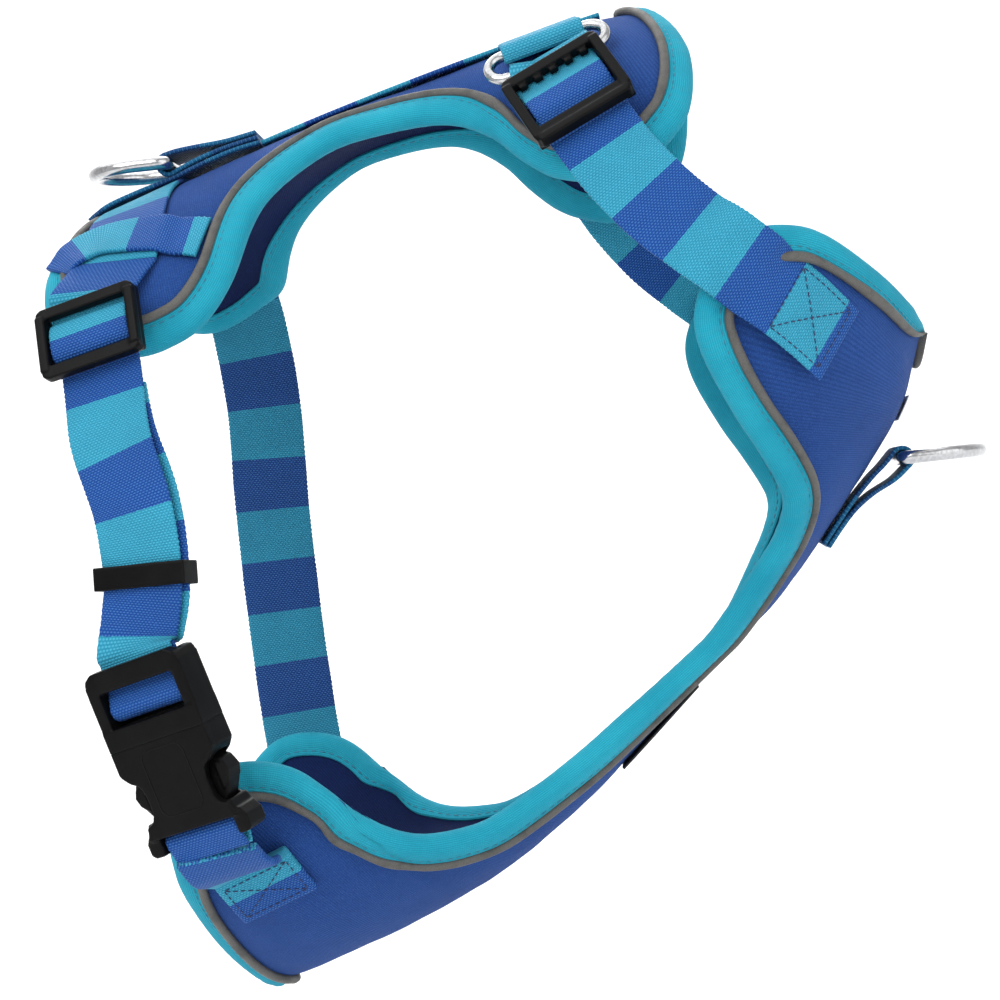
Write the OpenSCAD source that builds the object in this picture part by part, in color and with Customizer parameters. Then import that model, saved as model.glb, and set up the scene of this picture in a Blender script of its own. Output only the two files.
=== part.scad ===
// No-pull dog harness, size M, in the shape it has when worn.
// Millimetres. +X is the dog's forward direction, +Y its left, +Z up.
// The origin is the middle of the girth opening, where the dog's chest passes through.
// "near" pieces are on the dog's right (-Y), "far" pieces on its left (+Y).

/* [Webbing] */
// Width of the girth and neck webbing
web_w = 25; // [22:0.5:25]
// Thickness of the webbing
web_t = 1.4; // [1:0.1:1.5]
// Width of the two short straps that hold the girth webbing down
cross_w = 15; // [12:1:20]

/* [Panels] */
// Thickness of the foam core
core_t = 2.6; // [1.5:0.1:2.8]
// Thickness of the outer skin and of the lining
skin_t = 0.8; // [0.4:0.1:1]
// Width of the edge binding on each face
bind_w = 6.5; // [5:0.5:9]
// Radius of the reflective piping
pipe_r = 1.4; // [0.8:0.1:1.5]
// Height of the back panel's ridge above the girth centre
crown_z = 112; // [106:1:118]

/* [Hardware] */
// Wire radius of the two D rings
ring_r = 2.1; // [1.6:0.1:2.1]
// Half the inside width of the D rings
ring_in = 13; // [13:0.1:14]
// Wire radius of the two neck rings
neck_ring_r = 1.6; // [1.2:0.1:1.6]
// Length of the girth slider, along the strap
girth_slider_l = 22; // [20:0.5:24]
// Length of the neck sliders, along the strap
neck_slider_l = 28; // [26:0.5:30]
// Width of the side-release buckle
buckle_w = 33; // [32:0.5:35]

/* [Hidden] */

fabric = "#2f4fa8";
lining = "#18234f";
edging = "#28a9bf";
trim = "#5a5852";
webbing = "#2f7fd0";
plastic = "#17171a";
metal = "#c9c9c9";

gap = 0.2;
core_h = core_t / 2;
skin_low = core_h + gap;
skin_top = skin_low + skin_t;
bind_t = 1;
bind_h = skin_top + gap + bind_t;
web_h = skin_top + gap + web_t / 2;
over_pipe_h = skin_top + 2 * pipe_r + 0.5 + web_t / 2;
crown_x = 120;
crown_fall = 0.00042;

// ---- curves ------------------------------------------------------------------------------

function mix(a, b, t) = a + (b - a) * t;
function unit(v) = v / norm(v);
function smooth(a, b, x) = let (t = max(0, min(1, (x - a) / (b - a)))) t * t * (3 - 2 * t);
function square_to(v, axis) = unit(v - axis * (v * axis));

// Smooth curve through the rows of a list, read at a row number that may be a fraction
function row(list, k) =
  let (
    n = len(list) - 1,
    i = max(0, min(n - 1, floor(k))),
    t = k - i,
    a = list[max(0, i - 1)],
    b = list[i],
    c = list[i + 1],
    d = list[min(n, i + 2)]
  )
  b + 0.5 * t * ((c - a) + t * ((2 * a - 5 * b + 4 * c - d) + t * (3 * (b - c) + d - a)));

// A section of the body: from the centre line c round to the edge e on one side.
// v is 0 on the centre line, -1 on the near edge and 1 on the far edge. Gives [point, normal].
function section(c, e, up, v) =
  let (
    side = v < 0 ? -1 : 1,
    span = min(80, 2 * atan2(norm([c.x - e.x, c.z - e.z]), e.y)),
    turn = span * abs(v),
    f = (1 - cos(turn)) / (1 - cos(span)),
    g = sin(turn) / sin(span)
  )
  [
    [mix(c.x, e.x, f), side * e.y * g, mix(c.z, e.z, f)],
    unit(up * cos(turn) + [0, side * sin(turn), 0])
  ];

// ---- back panel: [x on the ridge, edge x, edge half width, edge z], rear to front ---------

BACK = [
  [0, -1, 3, 107], [0.5, -7.5, 24, 98.5], [2, -12, 43, 88], [4, -11.5, 56, 76.5],
  [8, -3.5, 62, 68], [16, 9, 63, 61], [24, 20, 61, 61], [32, 29, 58, 64],
  [42, 39.5, 52, 73.5], [58, 54, 40, 93], [78, 76, 31, 103], [95, 94, 26, 103.5],
  [112, 114, 26, 99], [122, 126.5, 32, 88], [128, 132.5, 39, 78], [134, 138.5, 46, 70],
  [140, 145, 52, 65.5], [148, 154, 57, 61.5], [156, 164, 59, 62.5], [163, 170.5, 58, 66],
  [168, 179.5, 53, 73], [174, 185.5, 38, 88], [178, 184.5, 20, 101], [180, 181, 5, 109.5]
];
// The rear of the panel sits a little further round on the near side, pulled by the buckle
rear_slip = [5, 2, 14];

function ridge(x) = [x, 0, crown_z - crown_fall * pow(x - crown_x, 2)];
function back(k, v) =
  let (
    r = row(BACK, k),
    slip = v > 0 ? (1 - smooth(28, 50, r[0])) * smooth(6, 50, r[2]) : 0
  )
  section(
    ridge(r[0]),
    [r[1], r[2], r[3]] + rear_slip * slip,
    unit([2 * crown_fall * (r[0] - crown_x), 0, 1]),
    v
  );

// ---- chest and belly panel: [place on the centre line, edge x, half width, edge z] ---------

CENTRE = [
  [224.5, -8.5], [214, -23.5], [201, -35.7], [175.2, -55.6], [155.8, -69],
  [134, -79], [84, -105], [49.5, -117.6], [15, -123.6], [-26, -127.5]
];
CHEST = [
  [0, 224, 5, -10], [0.1, 221, 29, -1], [0.2, 215.5, 44, 8], [0.35, 207.5, 55.5, 18],
  [0.5, 200, 63, 26], [0.65, 193, 66.5, 29.5], [0.8, 185, 70, 31], [0.95, 174, 72, 27.5],
  [1.1, 163.5, 72, 17], [1.3, 161, 70.5, 5], [1.7, 164, 63, -14], [2, 167, 58, -25],
  [2.3, 169.5, 52.5, -36], [2.6, 169.8, 47, -43.5], [2.9, 166, 41, -50.5],
  [3.3, 159, 35.5, -57.5], [4.3, 137, 26.5, -74], [4.7, 126, 24.5, -79.5],
  [5.4, 102, 24.5, -89], [5.8, 84, 27.5, -95.5], [6.3, 60, 36, -102], [6.6, 49, 42, -102.5],
  [6.9, 36, 48.5, -99.5], [7.1, 27, 53, -93.5], [7.25, 21.5, 56, -86.5], [7.4, 15, 60, -75],
  [7.6, 8.5, 62.5, -66.5], [7.8, -2.5, 64, -61], [8, -14, 64, -61], [8.2, -28, 59, -71],
  [8.4, -32.5, 50, -82], [8.6, -34, 40, -92], [8.8, -32.5, 22, -110], [9, -28.5, 4, -126]
];
// The breastbone strip rolls a little, so its far edge hangs lower
breast_roll = -4.5;
belly_roll = -3;

function chest(k, v) =
  let (
    r = row(CHEST, k),
    c = row(CENTRE, r[0]),
    step = row(CENTRE, min(9, r[0] + 0.05)) - row(CENTRE, max(0, r[0] - 0.05)),
    roll = v > 0 ? mix(breast_roll * smooth(2.9, 4.3, r[0]), belly_roll, smooth(6, 7, r[0])) : 0
  )
  section([c.x, 0, c.y], [r[1], r[2], r[3] + roll], unit([-step.y, 0, step.x]), v);

BACK_END = len(BACK) - 1;
CHEST_END = len(CHEST) - 1;
function back_at(k, v, h) = let (s = back(k, v)) s[0] + s[1] * h;
function chest_at(k, v, h) = let (s = chest(k, v)) s[0] + s[1] * h;

// ---- solids from points --------------------------------------------------------------------

// A closed skin over a list of rings; loop joins the last ring to the first
module skin(rings, loop = false) {
  n = len(rings[0]);
  m = len(rings);
  span = loop ? m : m - 1;
  sides = [
    for (i = [0:span - 1], j = [0:n - 1])
      let (
        a = i * n + j,
        b = i * n + (j + 1) % n,
        c = ((i + 1) % m) * n + (j + 1) % n,
        d = ((i + 1) % m) * n + j
      )
      each j < n / 2 ? [[a, c, b], [a, d, c]] : [[a, d, b], [b, d, c]]
  ];
  caps = loop ? [] : [[for (j = [0:n - 1]) j], [for (j = [n - 1:-1:0]) (m - 1) * n + j]];
  polyhedron([for (r = rings) each r], concat(sides, caps));
}

// One layer of a panel, between two heights above its middle surface
module layer(points, low, high) {
  m = len(points);
  n = len(points[0]);
  skin([
    for (r = points)
      [for (s = r) s[0] + s[1] * high, for (j = [n - 1:-1:0]) r[j][0] + r[j][1] * low]
  ]);
}

// Flat webbing along a path of [centre, outward normal] pairs
module strap(path, width, thick = web_t) {
  m = len(path);
  skin([
    for (i = [0:m - 1])
      let (
        t = unit(path[min(m - 1, i + 1)][0] - path[max(0, i - 1)][0]),
        n = square_to(path[i][1], t),
        a = cross(t, n) * width / 2,
        p = path[i][0],
        h = n * thick / 2
      )
      [p - a - h, p + a - h, p + a + h, p - a + h]
  ]);
}

// Path of webbing that follows rows of [x, y, z, turn]; turn swings the outward normal
// about the vertical, and side is -1 on the near side and 1 on the far side
function free_path(rows, side, count) = [
  for (i = [0:count])
    let (r = row(rows, i * (len(rows) - 1) / count))
    [[r[0], r[1], r[2]], [-sin(r[3]), side * cos(r[3]), 0]]
];

// Flat webbing bent in one plane: a ribbon along 2D points, standing on the XY plane
module ribbon(points, width, thick = web_t) {
  m = len(points);
  sides = [
    for (i = [0:m - 1])
      let (t = unit(points[min(m - 1, i + 1)] - points[max(0, i - 1)]), n = [-t.y, t.x] * thick / 2)
      [points[i] + n, points[i] - n]
  ];
  linear_extrude(width, center = true)
    polygon([for (s = sides) s[0], for (i = [m - 1:-1:0]) sides[i][1]]);
}

// Puts a child's origin at o, its X along x and its Z along z
module place(o, x, z) {
  y = cross(z, x);
  multmatrix([[x.x, y.x, z.x, o.x], [x.y, y.y, z.y, o.y], [x.z, y.z, z.z, o.z], [0, 0, 0, 1]])
    children();
}

function turned(centre, r, from, to, steps) = [
  for (i = [0:steps])
    let (a = mix(from, to, i / steps))
    centre + r * [cos(a), sin(a)]
];

// ---- panels ---------------------------------------------------------------------------------

back_rows = 30;
chest_rows = 44;
back_steps = [for (i = [0:back_rows]) BACK_END * i / back_rows];
chest_steps = [for (i = [0:chest_rows]) CHEST_END * i / chest_rows];
columns = [for (j = [-4:4]) j / 4];

module back_layer(low, high) { layer([for (k = back_steps) [for (v = columns) back(k, v)]], low, high); }
module chest_layer(low, high) {
  layer([for (k = chest_steps) [for (v = columns) chest(k, v)]], low, high);
}

module back_core() { color("#d8d6cc") back_layer(-core_h, core_h); }
module back_outer() { color(fabric) back_layer(skin_low, skin_top); }
module back_lining() { color(lining) back_layer(-skin_top, -skin_low); }
module chest_core() { color("#d8d6cc") chest_layer(-core_h, core_h); }
module chest_outer() { color(fabric) chest_layer(skin_low, skin_top); }
module chest_lining() { color(lining) chest_layer(-skin_top, -skin_low); }

// Frames along a closed edge: [point, normal, inward]
function rim(points) =
  let (m = len(points))
  [
    for (i = [0:m - 1])
      let (
        t = unit(points[(i + 1) % m][0] - points[(i + m - 1) % m][0]),
        n = square_to(points[i][1], t)
      )
      [points[i][0], n, cross(n, t)]
  ];
back_rim = rim(concat([for (k = back_steps) back(k, -1)], [for (i = [back_rows:-1:0]) back(back_steps[i], 1)]));
chest_rim =
  rim(concat([for (k = chest_steps) chest(k, -1)], [for (i = [chest_rows:-1:0]) chest(chest_steps[i], 1)]));

// The binding folds over the edge: its section is a thin C in [inward, height]
bind_in = skin_top + gap;
bind_profile = [
  [bind_w, bind_h], [-0.6, bind_h], [-1.4, bind_in], [-1.4, -bind_in], [-0.6, -bind_h],
  [bind_w, -bind_h], [bind_w, -bind_in], [-gap, -bind_in], [-gap, bind_in], [bind_w, bind_in]
];
module binding(frames) { skin([for (f = frames) [for (q = bind_profile) f[0] + f[2] * q[0] + f[1] * q[1]]], true); }
module piping(frames) {
  middle = [bind_w + gap + pipe_r, skin_top + pipe_r + 0.1];
  skin([
    for (f = frames)
      [for (a = [0:60:300]) f[0] + f[2] * (middle[0] + pipe_r * cos(a)) + f[1] * (middle[1] + pipe_r * sin(a))]
  ], true);
}
module back_binding() { color(edging) binding(back_rim); }
module chest_binding() { color(edging) binding(chest_rim); }
module back_piping() { color(trim) piping(back_rim); }
module chest_piping() { color(trim) piping(chest_rim); }

// ---- girth webbing --------------------------------------------------------------------------

girth_near_k = 4.3;
girth_mid_k = 5.5;
girth_far_k = 6.6;
girth_near_v = -0.66;
girth_far_v = 0.6;
function girth_k(v) = mix(girth_mid_k, v < 0 ? girth_near_k : girth_far_k, abs(v));
girth_over = [
  for (i = [0:16])
    let (v = mix(girth_near_v, girth_far_v, i / 16), s = back(girth_k(v), v))
    [s[0] + s[1] * web_h, s[1]]
];

// The adjustable strap is straight where the slider runs on it
girth_run = unit([-2, -5.6, -14]);
girth_slider_o = [0, -66.5, 68.6];
girth_turn = 14;
near_start = girth_over[0][0];
near_rows = [
  [near_start.x, near_start.y, near_start.z, 4],
  concat(girth_slider_o - girth_run * 14, 9),
  concat(girth_slider_o - girth_run * 10.5, 12),
  concat(girth_slider_o, girth_turn),
  concat(girth_slider_o + girth_run * 16, girth_turn),
  concat(girth_slider_o + girth_run * 33, 15),
  [-4.4, -82.6, 18, 18],
  [-7.8, -84, -0.5, 21],
  [-12.6, -84.8, -12, 23]
];
near_joint = [-1, 0];
far_start = girth_over[16][0];
far_rows = [
  [far_start.x, far_start.y, far_start.z, 0], [27, 62, 90, 4], [26.5, 70.5, 80, 8],
  [24.5, 76, 66, 8], [20, 80.5, 44, 8], [11, 82.5, 12, 8], [2.6, 81.5, -24, 6],
  [-3, 76.5, -54, 4], [-4.6, 73, -66, 4], [-5.4, 69.5, -75, 4]
];

// The buckle: origin at the mouth of the socket, +Z up its axis, -Y its outer face
buckle_o = [-16, -84, -43.5];
buckle_up = unit([-1.5, -4, 54]);
buckle_x = square_to([cos(25), -sin(25), 0], buckle_up);
function on_buckle(y, z) = buckle_o + cross(buckle_up, buckle_x) * y + buckle_up * z;
plug_top = 22.5;
web_outer_y = -0.4;
web_inner_y = 1.5;
buckle_out = -cross(buckle_up, buckle_x);

function joined(rows, p, turn) = concat(rows, [concat(p, turn)]);
near_path = free_path(joined(near_rows, on_buckle(web_outer_y, plug_top + 1.2), 25), -1, 36);
// The return run lies inside the outer one and bows away from it below the slider
function return_bow(t) = 1.9 + 1.2 * sin(180 * min(1, t / 0.55));
near_return = [
  for (i = [16:36])
    let (s = near_path[i], t = (i - 16) / 20)
    [s[0] - unit(s[1]) * mix(return_bow(t), web_inner_y - web_outer_y, smooth(0.8, 1, t)), s[1]]
];
module girth_webbing() { color(webbing) strap(girth_over, web_w); }
module girth_strap_near() { color(webbing) strap(near_path, web_w); }
module girth_return() { color(webbing) strap(near_return, web_w); }
module girth_strap_far() { color(webbing) strap(free_path(far_rows, 1, 30), web_w); }
far_end_rows = [for (i = [0:6]) let (s = chest(28.1 + i * 0.02, mix(0.86, 0.6, i / 6))) [s[0] + s[1] * mix(5.6, web_h, smooth(0, 0.4, i / 6)), s[1]]];
module girth_end_far() { color(webbing) strap(far_end_rows, web_w); }

// Short straps along the dog, over the girth webbing, sewn down at both ends
cross_near_rows = [[2.3, -0.8], [3.3, -0.64], [4.3, -0.55], [5.5, -0.56], [6.7, -0.64], [7.9, -0.75]];
cross_far_rows = [[2.3, 0.78], [3.6, 0.62], [4.9, 0.55], [6.1, 0.56], [7.3, 0.62], [8.6, 0.72]];
cross_near = [for (i = [0:12]) row(cross_near_rows, i * 5 / 12)];
cross_far = [for (i = [0:12]) row(cross_far_rows, i * 5 / 12)];
cross_lift = web_t + gap;
module cross_strap(list, from, to) {
  strap([
    for (q = list)
      let (s = back(q[0], q[1]), lift = smooth(from - 1, from, q[0]) * (1 - smooth(to, to + 1, q[0])))
      [s[0] + s[1] * (web_h + cross_lift * lift), s[1]]
  ], cross_w);
}
module cross_strap_near() { color(webbing) cross_strap(cross_near, 3.2, 6.5); }
module cross_strap_far() { color(webbing) cross_strap(cross_far, 4.5, 7.7); }

// ---- sliders and keeper ------------------------------------------------------------------------

slot_half = web_w / 2 + 0.4;
rail_w = 2.8;
slider_w = 2 * (slot_half + rail_w);
slider_low = 2.1;
slider_top = 5.6;
slider_foot = 0.35;
slider_bar_top = 3;

module round_rect(w, h, r) {
  square([w, h - 2 * r], center = true);
  square([w - 2 * r, h], center = true);
  for (x = [-1, 1], y = [-1, 1]) translate([x * (w / 2 - r), y * (h / 2 - r)]) circle(r, $fn = 48);
}

// Three-bar slider lying on its strap: X across, Y up the strap, Z outward from its face
module slider(long, top_bar, low_bar, teeth) {
  window = long - top_bar - low_bar;
  window_y = (low_bar - top_bar) / 2;
  translate([0, 0, slider_low])
    linear_extrude(slider_top - slider_low)
      difference() {
        round_rect(slider_w, long, 2.4);
        translate([0, window_y]) square([2 * slot_half, window], center = true);
      }
  for (x = [-1, 1])
    translate([x * (slot_half + rail_w / 2), 0, slider_low / 2 + slider_foot / 2 + 0.2])
      cube([rail_w, long - 5, slider_low - slider_foot + 0.4], center = true);
  translate([0, 0, (slider_foot + slider_bar_top) / 2])
    cube([2 * slot_half + 1, 4.4, slider_bar_top - slider_foot], center = true);
  if (teeth > 0)
    for (i = [0:teeth - 1])
      translate([mix(-10, 10, i / (teeth - 1)), long / 2 - top_bar - 0.4, slider_low + 1.6])
        cube([1.8, 1.4, 2.2], center = true);
}
// Webbing that goes under both end bars of a slider and over its middle bar
module slider_wrap(long) {
  low = slider_low - gap - web_t / 2;
  high = slider_bar_top + gap + web_t / 2 + 0.15;
  reach = long / 2 - 1;
  rotate([90, 0, 90])
    ribbon([
      [-reach, low], [4.8 - reach, low], [-5, mix(low, high, 0.6)], [-2.8, high], [2.8, high],
      [5, mix(low, high, 0.6)], [reach - 4.8, low], [reach, low]
    ], web_w);
}

// A slider's frame: origin on the outer face of the strap, x across, z outward
function out_of(turn, side, run) = square_to([-sin(turn), side * cos(turn), 0], run);
girth_out = out_of(girth_turn, -1, girth_run);
module on_girth() {
  place(girth_slider_o + girth_out * web_t / 2, cross(-girth_run, girth_out), girth_out) children();
}
module girth_slider() { color(plastic) on_girth() slider(girth_slider_l, 3.4, 3.8, 0); }
module girth_slider_wrap() { color(webbing) on_girth() slider_wrap(girth_slider_l); }

keeper_row = 7;
keeper_p = row(near_rows, keeper_row);
keeper_run = unit(row(near_rows, keeper_row + 0.1) - row(near_rows, keeper_row - 0.1));
keeper_dir = unit([keeper_run[0], keeper_run[1], keeper_run[2]]);
keeper_out = out_of(keeper_p[3], -1, keeper_dir);
module girth_keeper() {
  color(plastic)
    place([keeper_p[0], keeper_p[1], keeper_p[2]] - keeper_out * 1.55, cross(-keeper_dir, keeper_out), keeper_out)
      rotate([90, 0, 0])
        linear_extrude(7, center = true)
          difference() {
            round_rect(web_w + 4.2, 8.2, 1.2);
            round_rect(web_w + 1.6, 5.8, 0.4);
          }
}

// ---- side-release buckle ------------------------------------------------------------------------

module on_buckle_frame() { place(buckle_o, buckle_x, buckle_up) children(); }
module block(low, high) { translate(low) cube(high - low); }
// A block with rounded corners in the X-Z plane, from y0 to y1
module plate(w, z0, z1, r, y0, y1) {
  translate([0, y1, (z0 + z1) / 2]) rotate([90, 0, 0]) linear_extrude(y1 - y0) round_rect(w, z1 - z0, r);
}

body_front = -6.4;
body_back = 5;
plug_bar_y = -1.2;
plug_bar_z = 10.2;
plug_bar_r = 1.6;
module buckle_plug() {
  color(plastic)
    on_buckle_frame() {
      difference() {
        plate(buckle_w, 0.2, plug_top, 3.4, body_front, body_back);
        block([-13.2, body_front - 1, 5.4], [13.2, 2.4, 16]);
        block([-13.2, 2.3, 9], [13.2, body_back + 1, 16]);
        block([-13.2, -1.6, 10], [13.2, body_back + 1, plug_top + 1]);
      }
      translate([0, plug_bar_y, plug_bar_z]) rotate([0, 90, 0]) cylinder(h = 28, r = plug_bar_r, center = true, $fn = 40);
      block([-3.4, -2.4, -24], [3.4, 2.4, 1]);
    }
}
loop_r = plug_bar_r + gap + 0.1 + web_t / 2;
module buckle_plug_loop() {
  color(webbing)
    on_buckle_frame()
      rotate([90, 0, 90])
        ribbon(concat(
          [[web_outer_y, plug_top + 0.9], [web_outer_y - 0.1, 16.5], [-2.1, 13.6]],
          turned([plug_bar_y, plug_bar_z], loop_r, 130, 360, 12),
          [[web_inner_y, 13.6], [web_inner_y, plug_top + 0.9]]
        ), web_w);
}

// An arm of the plug: it bends from its root, and its shoulder fills the socket's side window
arm_root = [10.6, 0, -0.8];
module arm(side) {
  color(plastic)
    on_buckle_frame()
      mirror([side < 0 ? 1 : 0, 0, 0])
        rotate([90, 0, 0])
          linear_extrude(6, center = true)
            polygon([
              [8.6, 0], [12.4, 0], [12.4, -7], [12.7, -10.8], [15.4, -11.6], [16.1, -14.5],
              [14.6, -18.6], [11.8, -23.4], [9.6, -23.6], [9.2, -12]
            ]);
}
module buckle_arm_front() { arm(1); }
module buckle_arm_rear() { arm(-1); }

socket_bottom = -32.5;
socket_bar_z = -30.2;
socket_bar_y = -0.7;
cave_half = 13;
module buckle_socket() {
  color(plastic)
    on_buckle_frame() {
      difference() {
        union() {
          plate(buckle_w, -9.6, -0.3, 2.2, body_front, body_back);
          plate(22, -25, -5, 2, body_front, body_back);
          plate(buckle_w - 1, -27.6, -22, 2, body_front + 1, body_back - 1);
        }
        block([-cave_half, -3.6, -24.6], [cave_half, 3.6, 1]);
      }
      difference() {
        plate(buckle_w + 2, socket_bottom, -25.2, 1.8, body_front + 1.2, body_back - 1.2);
        block([-13, body_front, socket_bottom - 1], [13, body_back, -26.4]);
      }
      translate([0, socket_bar_y, socket_bar_z])
        rotate([0, 90, 0]) cylinder(h = 28, r = plug_bar_r, center = true, $fn = 40);
    }
}

// Stub webbing: round the socket's bar, in to the belly panel, then sewn down
stub_k = 28.6;
function stub_flush(t) =
  let (s = chest(mix(stub_k, stub_k + 0.3, t), mix(-0.78, -0.64, t)))
  [s[0] + s[1] * mix(4.6, web_h + 0.7, smooth(0, 0.4, t)), s[1]];
stub_top = on_buckle(socket_bar_y, -38.8);
stub_rows = [
  concat(stub_top, [-0.2, -0.6, -0.78]),
  [-14, -73.5, -87.5, -0.1, -0.4, -0.9],
  concat(stub_flush(0)[0], stub_flush(0)[1])
];
module stub_loop() {
  color(webbing)
    on_buckle_frame()
      rotate([90, 0, 90])
        ribbon(concat(
          [[socket_bar_y - 0.8, -36.4], [socket_bar_y - 1.8, -33.4]],
          turned([socket_bar_y, socket_bar_z], loop_r, 205, -25, 12),
          [[socket_bar_y + 1.8, -33.4], [socket_bar_y + 0.8, -36.4]]
        ), web_w);
}
module buckle_stub() {
  color(webbing)
    strap([
      for (i = [0:10])
        let (r = row(stub_rows, i / 5))
        [[r[0], r[1], r[2]], [r[3], r[4], r[5]]]
    ], web_w, 2 * web_t);
}
module stub_end() { color(webbing) strap([for (i = [0:8]) stub_flush(i / 8)], web_w, 2 * web_t); }

// ---- leash points ------------------------------------------------------------------------------------

// D ring: straight bar along X at the origin, bow towards +Y
bow_r = ring_in + ring_r;
leg = 9.4;
module d_ring() {
  rotate([0, 90, 0]) cylinder(h = 2 * bow_r, r = ring_r, center = true, $fn = 48);
  for (x = [-bow_r, bow_r]) {
    translate([x, 0, 0]) sphere(ring_r, $fn = 48);
    translate([x, 0, 0]) rotate([-90, 0, 0]) cylinder(h = leg, r = ring_r, $fn = 48);
  }
  translate([0, leg, 0]) rotate_extrude(angle = 180, $fn = 96) translate([bow_r, 0]) circle(ring_r, $fn = 48);
}

back_bar = [29, 0, 117.8];
front_bar = [207.9, 0, -43];
bar_loop_r = ring_r + gap + 0.1 + web_t / 2;
module back_d_ring() { color(metal) place(back_bar, [0, 1, 0], unit([0.242, 0, 0.97])) d_ring(); }
module front_d_ring() { color(metal) place(front_bar, [0, -1, 0], unit([0.24, 0, 0.97])) d_ring(); }

spine_rear = 58;
spine_front = 168;
module across_y(points, width) { rotate([90, 0, 0]) ribbon(points, width); }
module spine_webbing() {
  color(webbing)
    across_y([for (i = [0:10]) let (r = ridge(mix(spine_rear, spine_front, i / 10))) [r.x, r.z + web_h]], 20);
}
// Folded webbing round the back ring's bar, tacked down where the spine webbing starts
module back_ring_loop() {
  color(webbing)
    across_y(concat(
      [[57.5, 117.6], [48, 118.3], [39, 119.8]],
      turned([back_bar.x, back_bar.z], bar_loop_r, 80, 280, 14),
      [[35.5, 115.8], [42, 116.3], [49, 116.4], [57.5, 116]]
    ), web_w - 1);
}
// Second run, arching from the tack over the girth webbing to the rear
module back_ring_strand() {
  color(webbing)
    across_y([[57.5, 114.3], [50, 114.8], [43, 114.6], [35, 113.9], [28, 113.2], [18, 113], [8, 112.3], [3, 110.7], [0.5, 109.6]], web_w - 1);
}

// The front loop lies on the chest's centre line: [up the chest, outward] from its lower tack
front_foot = [176.7, -57.5];
front_up = [0.79, 0.61];
front_out = [0.61, -0.79];
front_bar_uv = let (d = [front_bar.x, front_bar.z] - front_foot) [d * front_up, d * front_out];
function front_xz(p) = front_foot + front_up * p[0] + front_out * p[1];
module front_ring_loop() {
  color(webbing)
    across_y([
      for (p = concat(
        [[-1, 1.1], [8, 1.3], [16, 1.7], [24, 3], [29, 4]],
        turned(front_bar_uv, bar_loop_r, -85, 110, 14),
        [[27, 9.2], [20, 6], [13, 3.6], [6, 2.9], [-1, 2.7]]
      )) front_xz(p)
    ], web_w - 1);
}

// ---- neck straps -----------------------------------------------------------------------------------

neck_a = [147.6, -45.2, 99.5];
neck_c = [152.8, -62.8, 75.5];
neck_run = unit(neck_c - neck_a);
neck_slider_o = mix(neck_a, neck_c, 0.52);
neck_rows = [
  concat(mix(neck_a, neck_c, 0.1), -2), concat(mix(neck_a, neck_c, 0.33), -2), concat(mix(neck_a, neck_c, 0.67), -2),
  concat(neck_c, -2), [156.8, -68, 62, -4], [163.5, -72, 47, -8], [171.5, -74.4, 34, -13],
  [181, -73.4, 20, -19], [190, -68.6, 6.5, -24], [197, -62, -6, -28]
];
neck_ring_o = [148.5, -41.6, 104.2];
neck_ring_dir = unit([0.12, -0.62, -0.77]);
neck_out = out_of(-2, -1, neck_run);
neck_x = cross(-neck_run, neck_out);
neck_bar_gap = 4.9;

module mirror_far(side) { mirror([0, side > 0 ? 1 : 0, 0]) children(); }
module on_neck() { place(neck_slider_o + neck_out * web_t / 2, neck_x, neck_out) children(); }

// Oval ring: two bars along X joined by half rounds
module oval_ring() {
  half = slot_half + 0.2;
  for (y = [-neck_bar_gap, neck_bar_gap])
    translate([0, y, 0]) rotate([0, 90, 0]) cylinder(h = 2 * half, r = neck_ring_r, center = true, $fn = 40);
  for (s = [-1, 1])
    translate([s * half, 0, 0])
      rotate([0, 0, s > 0 ? -90 : 90])
        rotate_extrude(angle = 180, $fn = 72) translate([neck_bar_gap, 0]) circle(neck_ring_r, $fn = 40);
}
module neck_ring(side) {
  color(metal)
    mirror_far(side)
      place(neck_ring_o, [1, 0, 0], square_to([0, -0.77, 0.62], neck_ring_dir)) oval_ring();
}
module neck_ring_near() { neck_ring(-1); }
module neck_ring_far() { neck_ring(1); }

// The tab is folded round the ring's upper bar and sewn down beside the spine: [sideways, up]
tab_k = 16.9;
tab_bar = let (p = neck_ring_o - neck_ring_dir * neck_bar_gap) [p.y, p.z];
tab_loop_r = neck_ring_r + gap + 0.1 + web_t / 2;
function tab_low(v) = let (p = back_at(tab_k, v, web_h)) [p.y, p.z];
function tab_high(v, h) = let (p = back_at(tab_k, v, h)) [p.y, p.z];
module neck_tab(side) {
  color(webbing)
    mirror_far(side)
      translate([148.5, 0, 0])
        rotate([90, 0, 90])
          ribbon(concat(
            [for (v = [-0.16, -0.22, -0.28, -0.34]) tab_low(v)],
            turned(tab_bar, tab_loop_r, 240, 50, 12),
            [tab_high(-0.33, 6.6), tab_high(-0.26, 5.2), tab_high(-0.16, web_h + web_t + gap)]
          ), web_w);
}
module neck_tab_near() { neck_tab(-1); }
module neck_tab_far() { neck_tab(1); }

module neck_strap(side) { color(webbing) mirror_far(side) strap(free_path(neck_rows, -1, 36), web_w); }
module neck_strap_near() { neck_strap(-1); }
module neck_strap_far() { neck_strap(1); }

// Webbing round the ring's lower bar; its two runs go on under the slider
ring_low = neck_ring_o + neck_ring_dir * neck_bar_gap;
module neck_return(side) {
  color(webbing)
    mirror_far(side)
      place(ring_low, unit([0, -neck_run.y, -neck_run.z]), [1, 0, 0])
        ribbon(turned([0, 0], tab_loop_r, 80, -120, 12), web_w);
}
module neck_return_near() { neck_return(-1); }
module neck_return_far() { neck_return(1); }

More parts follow.
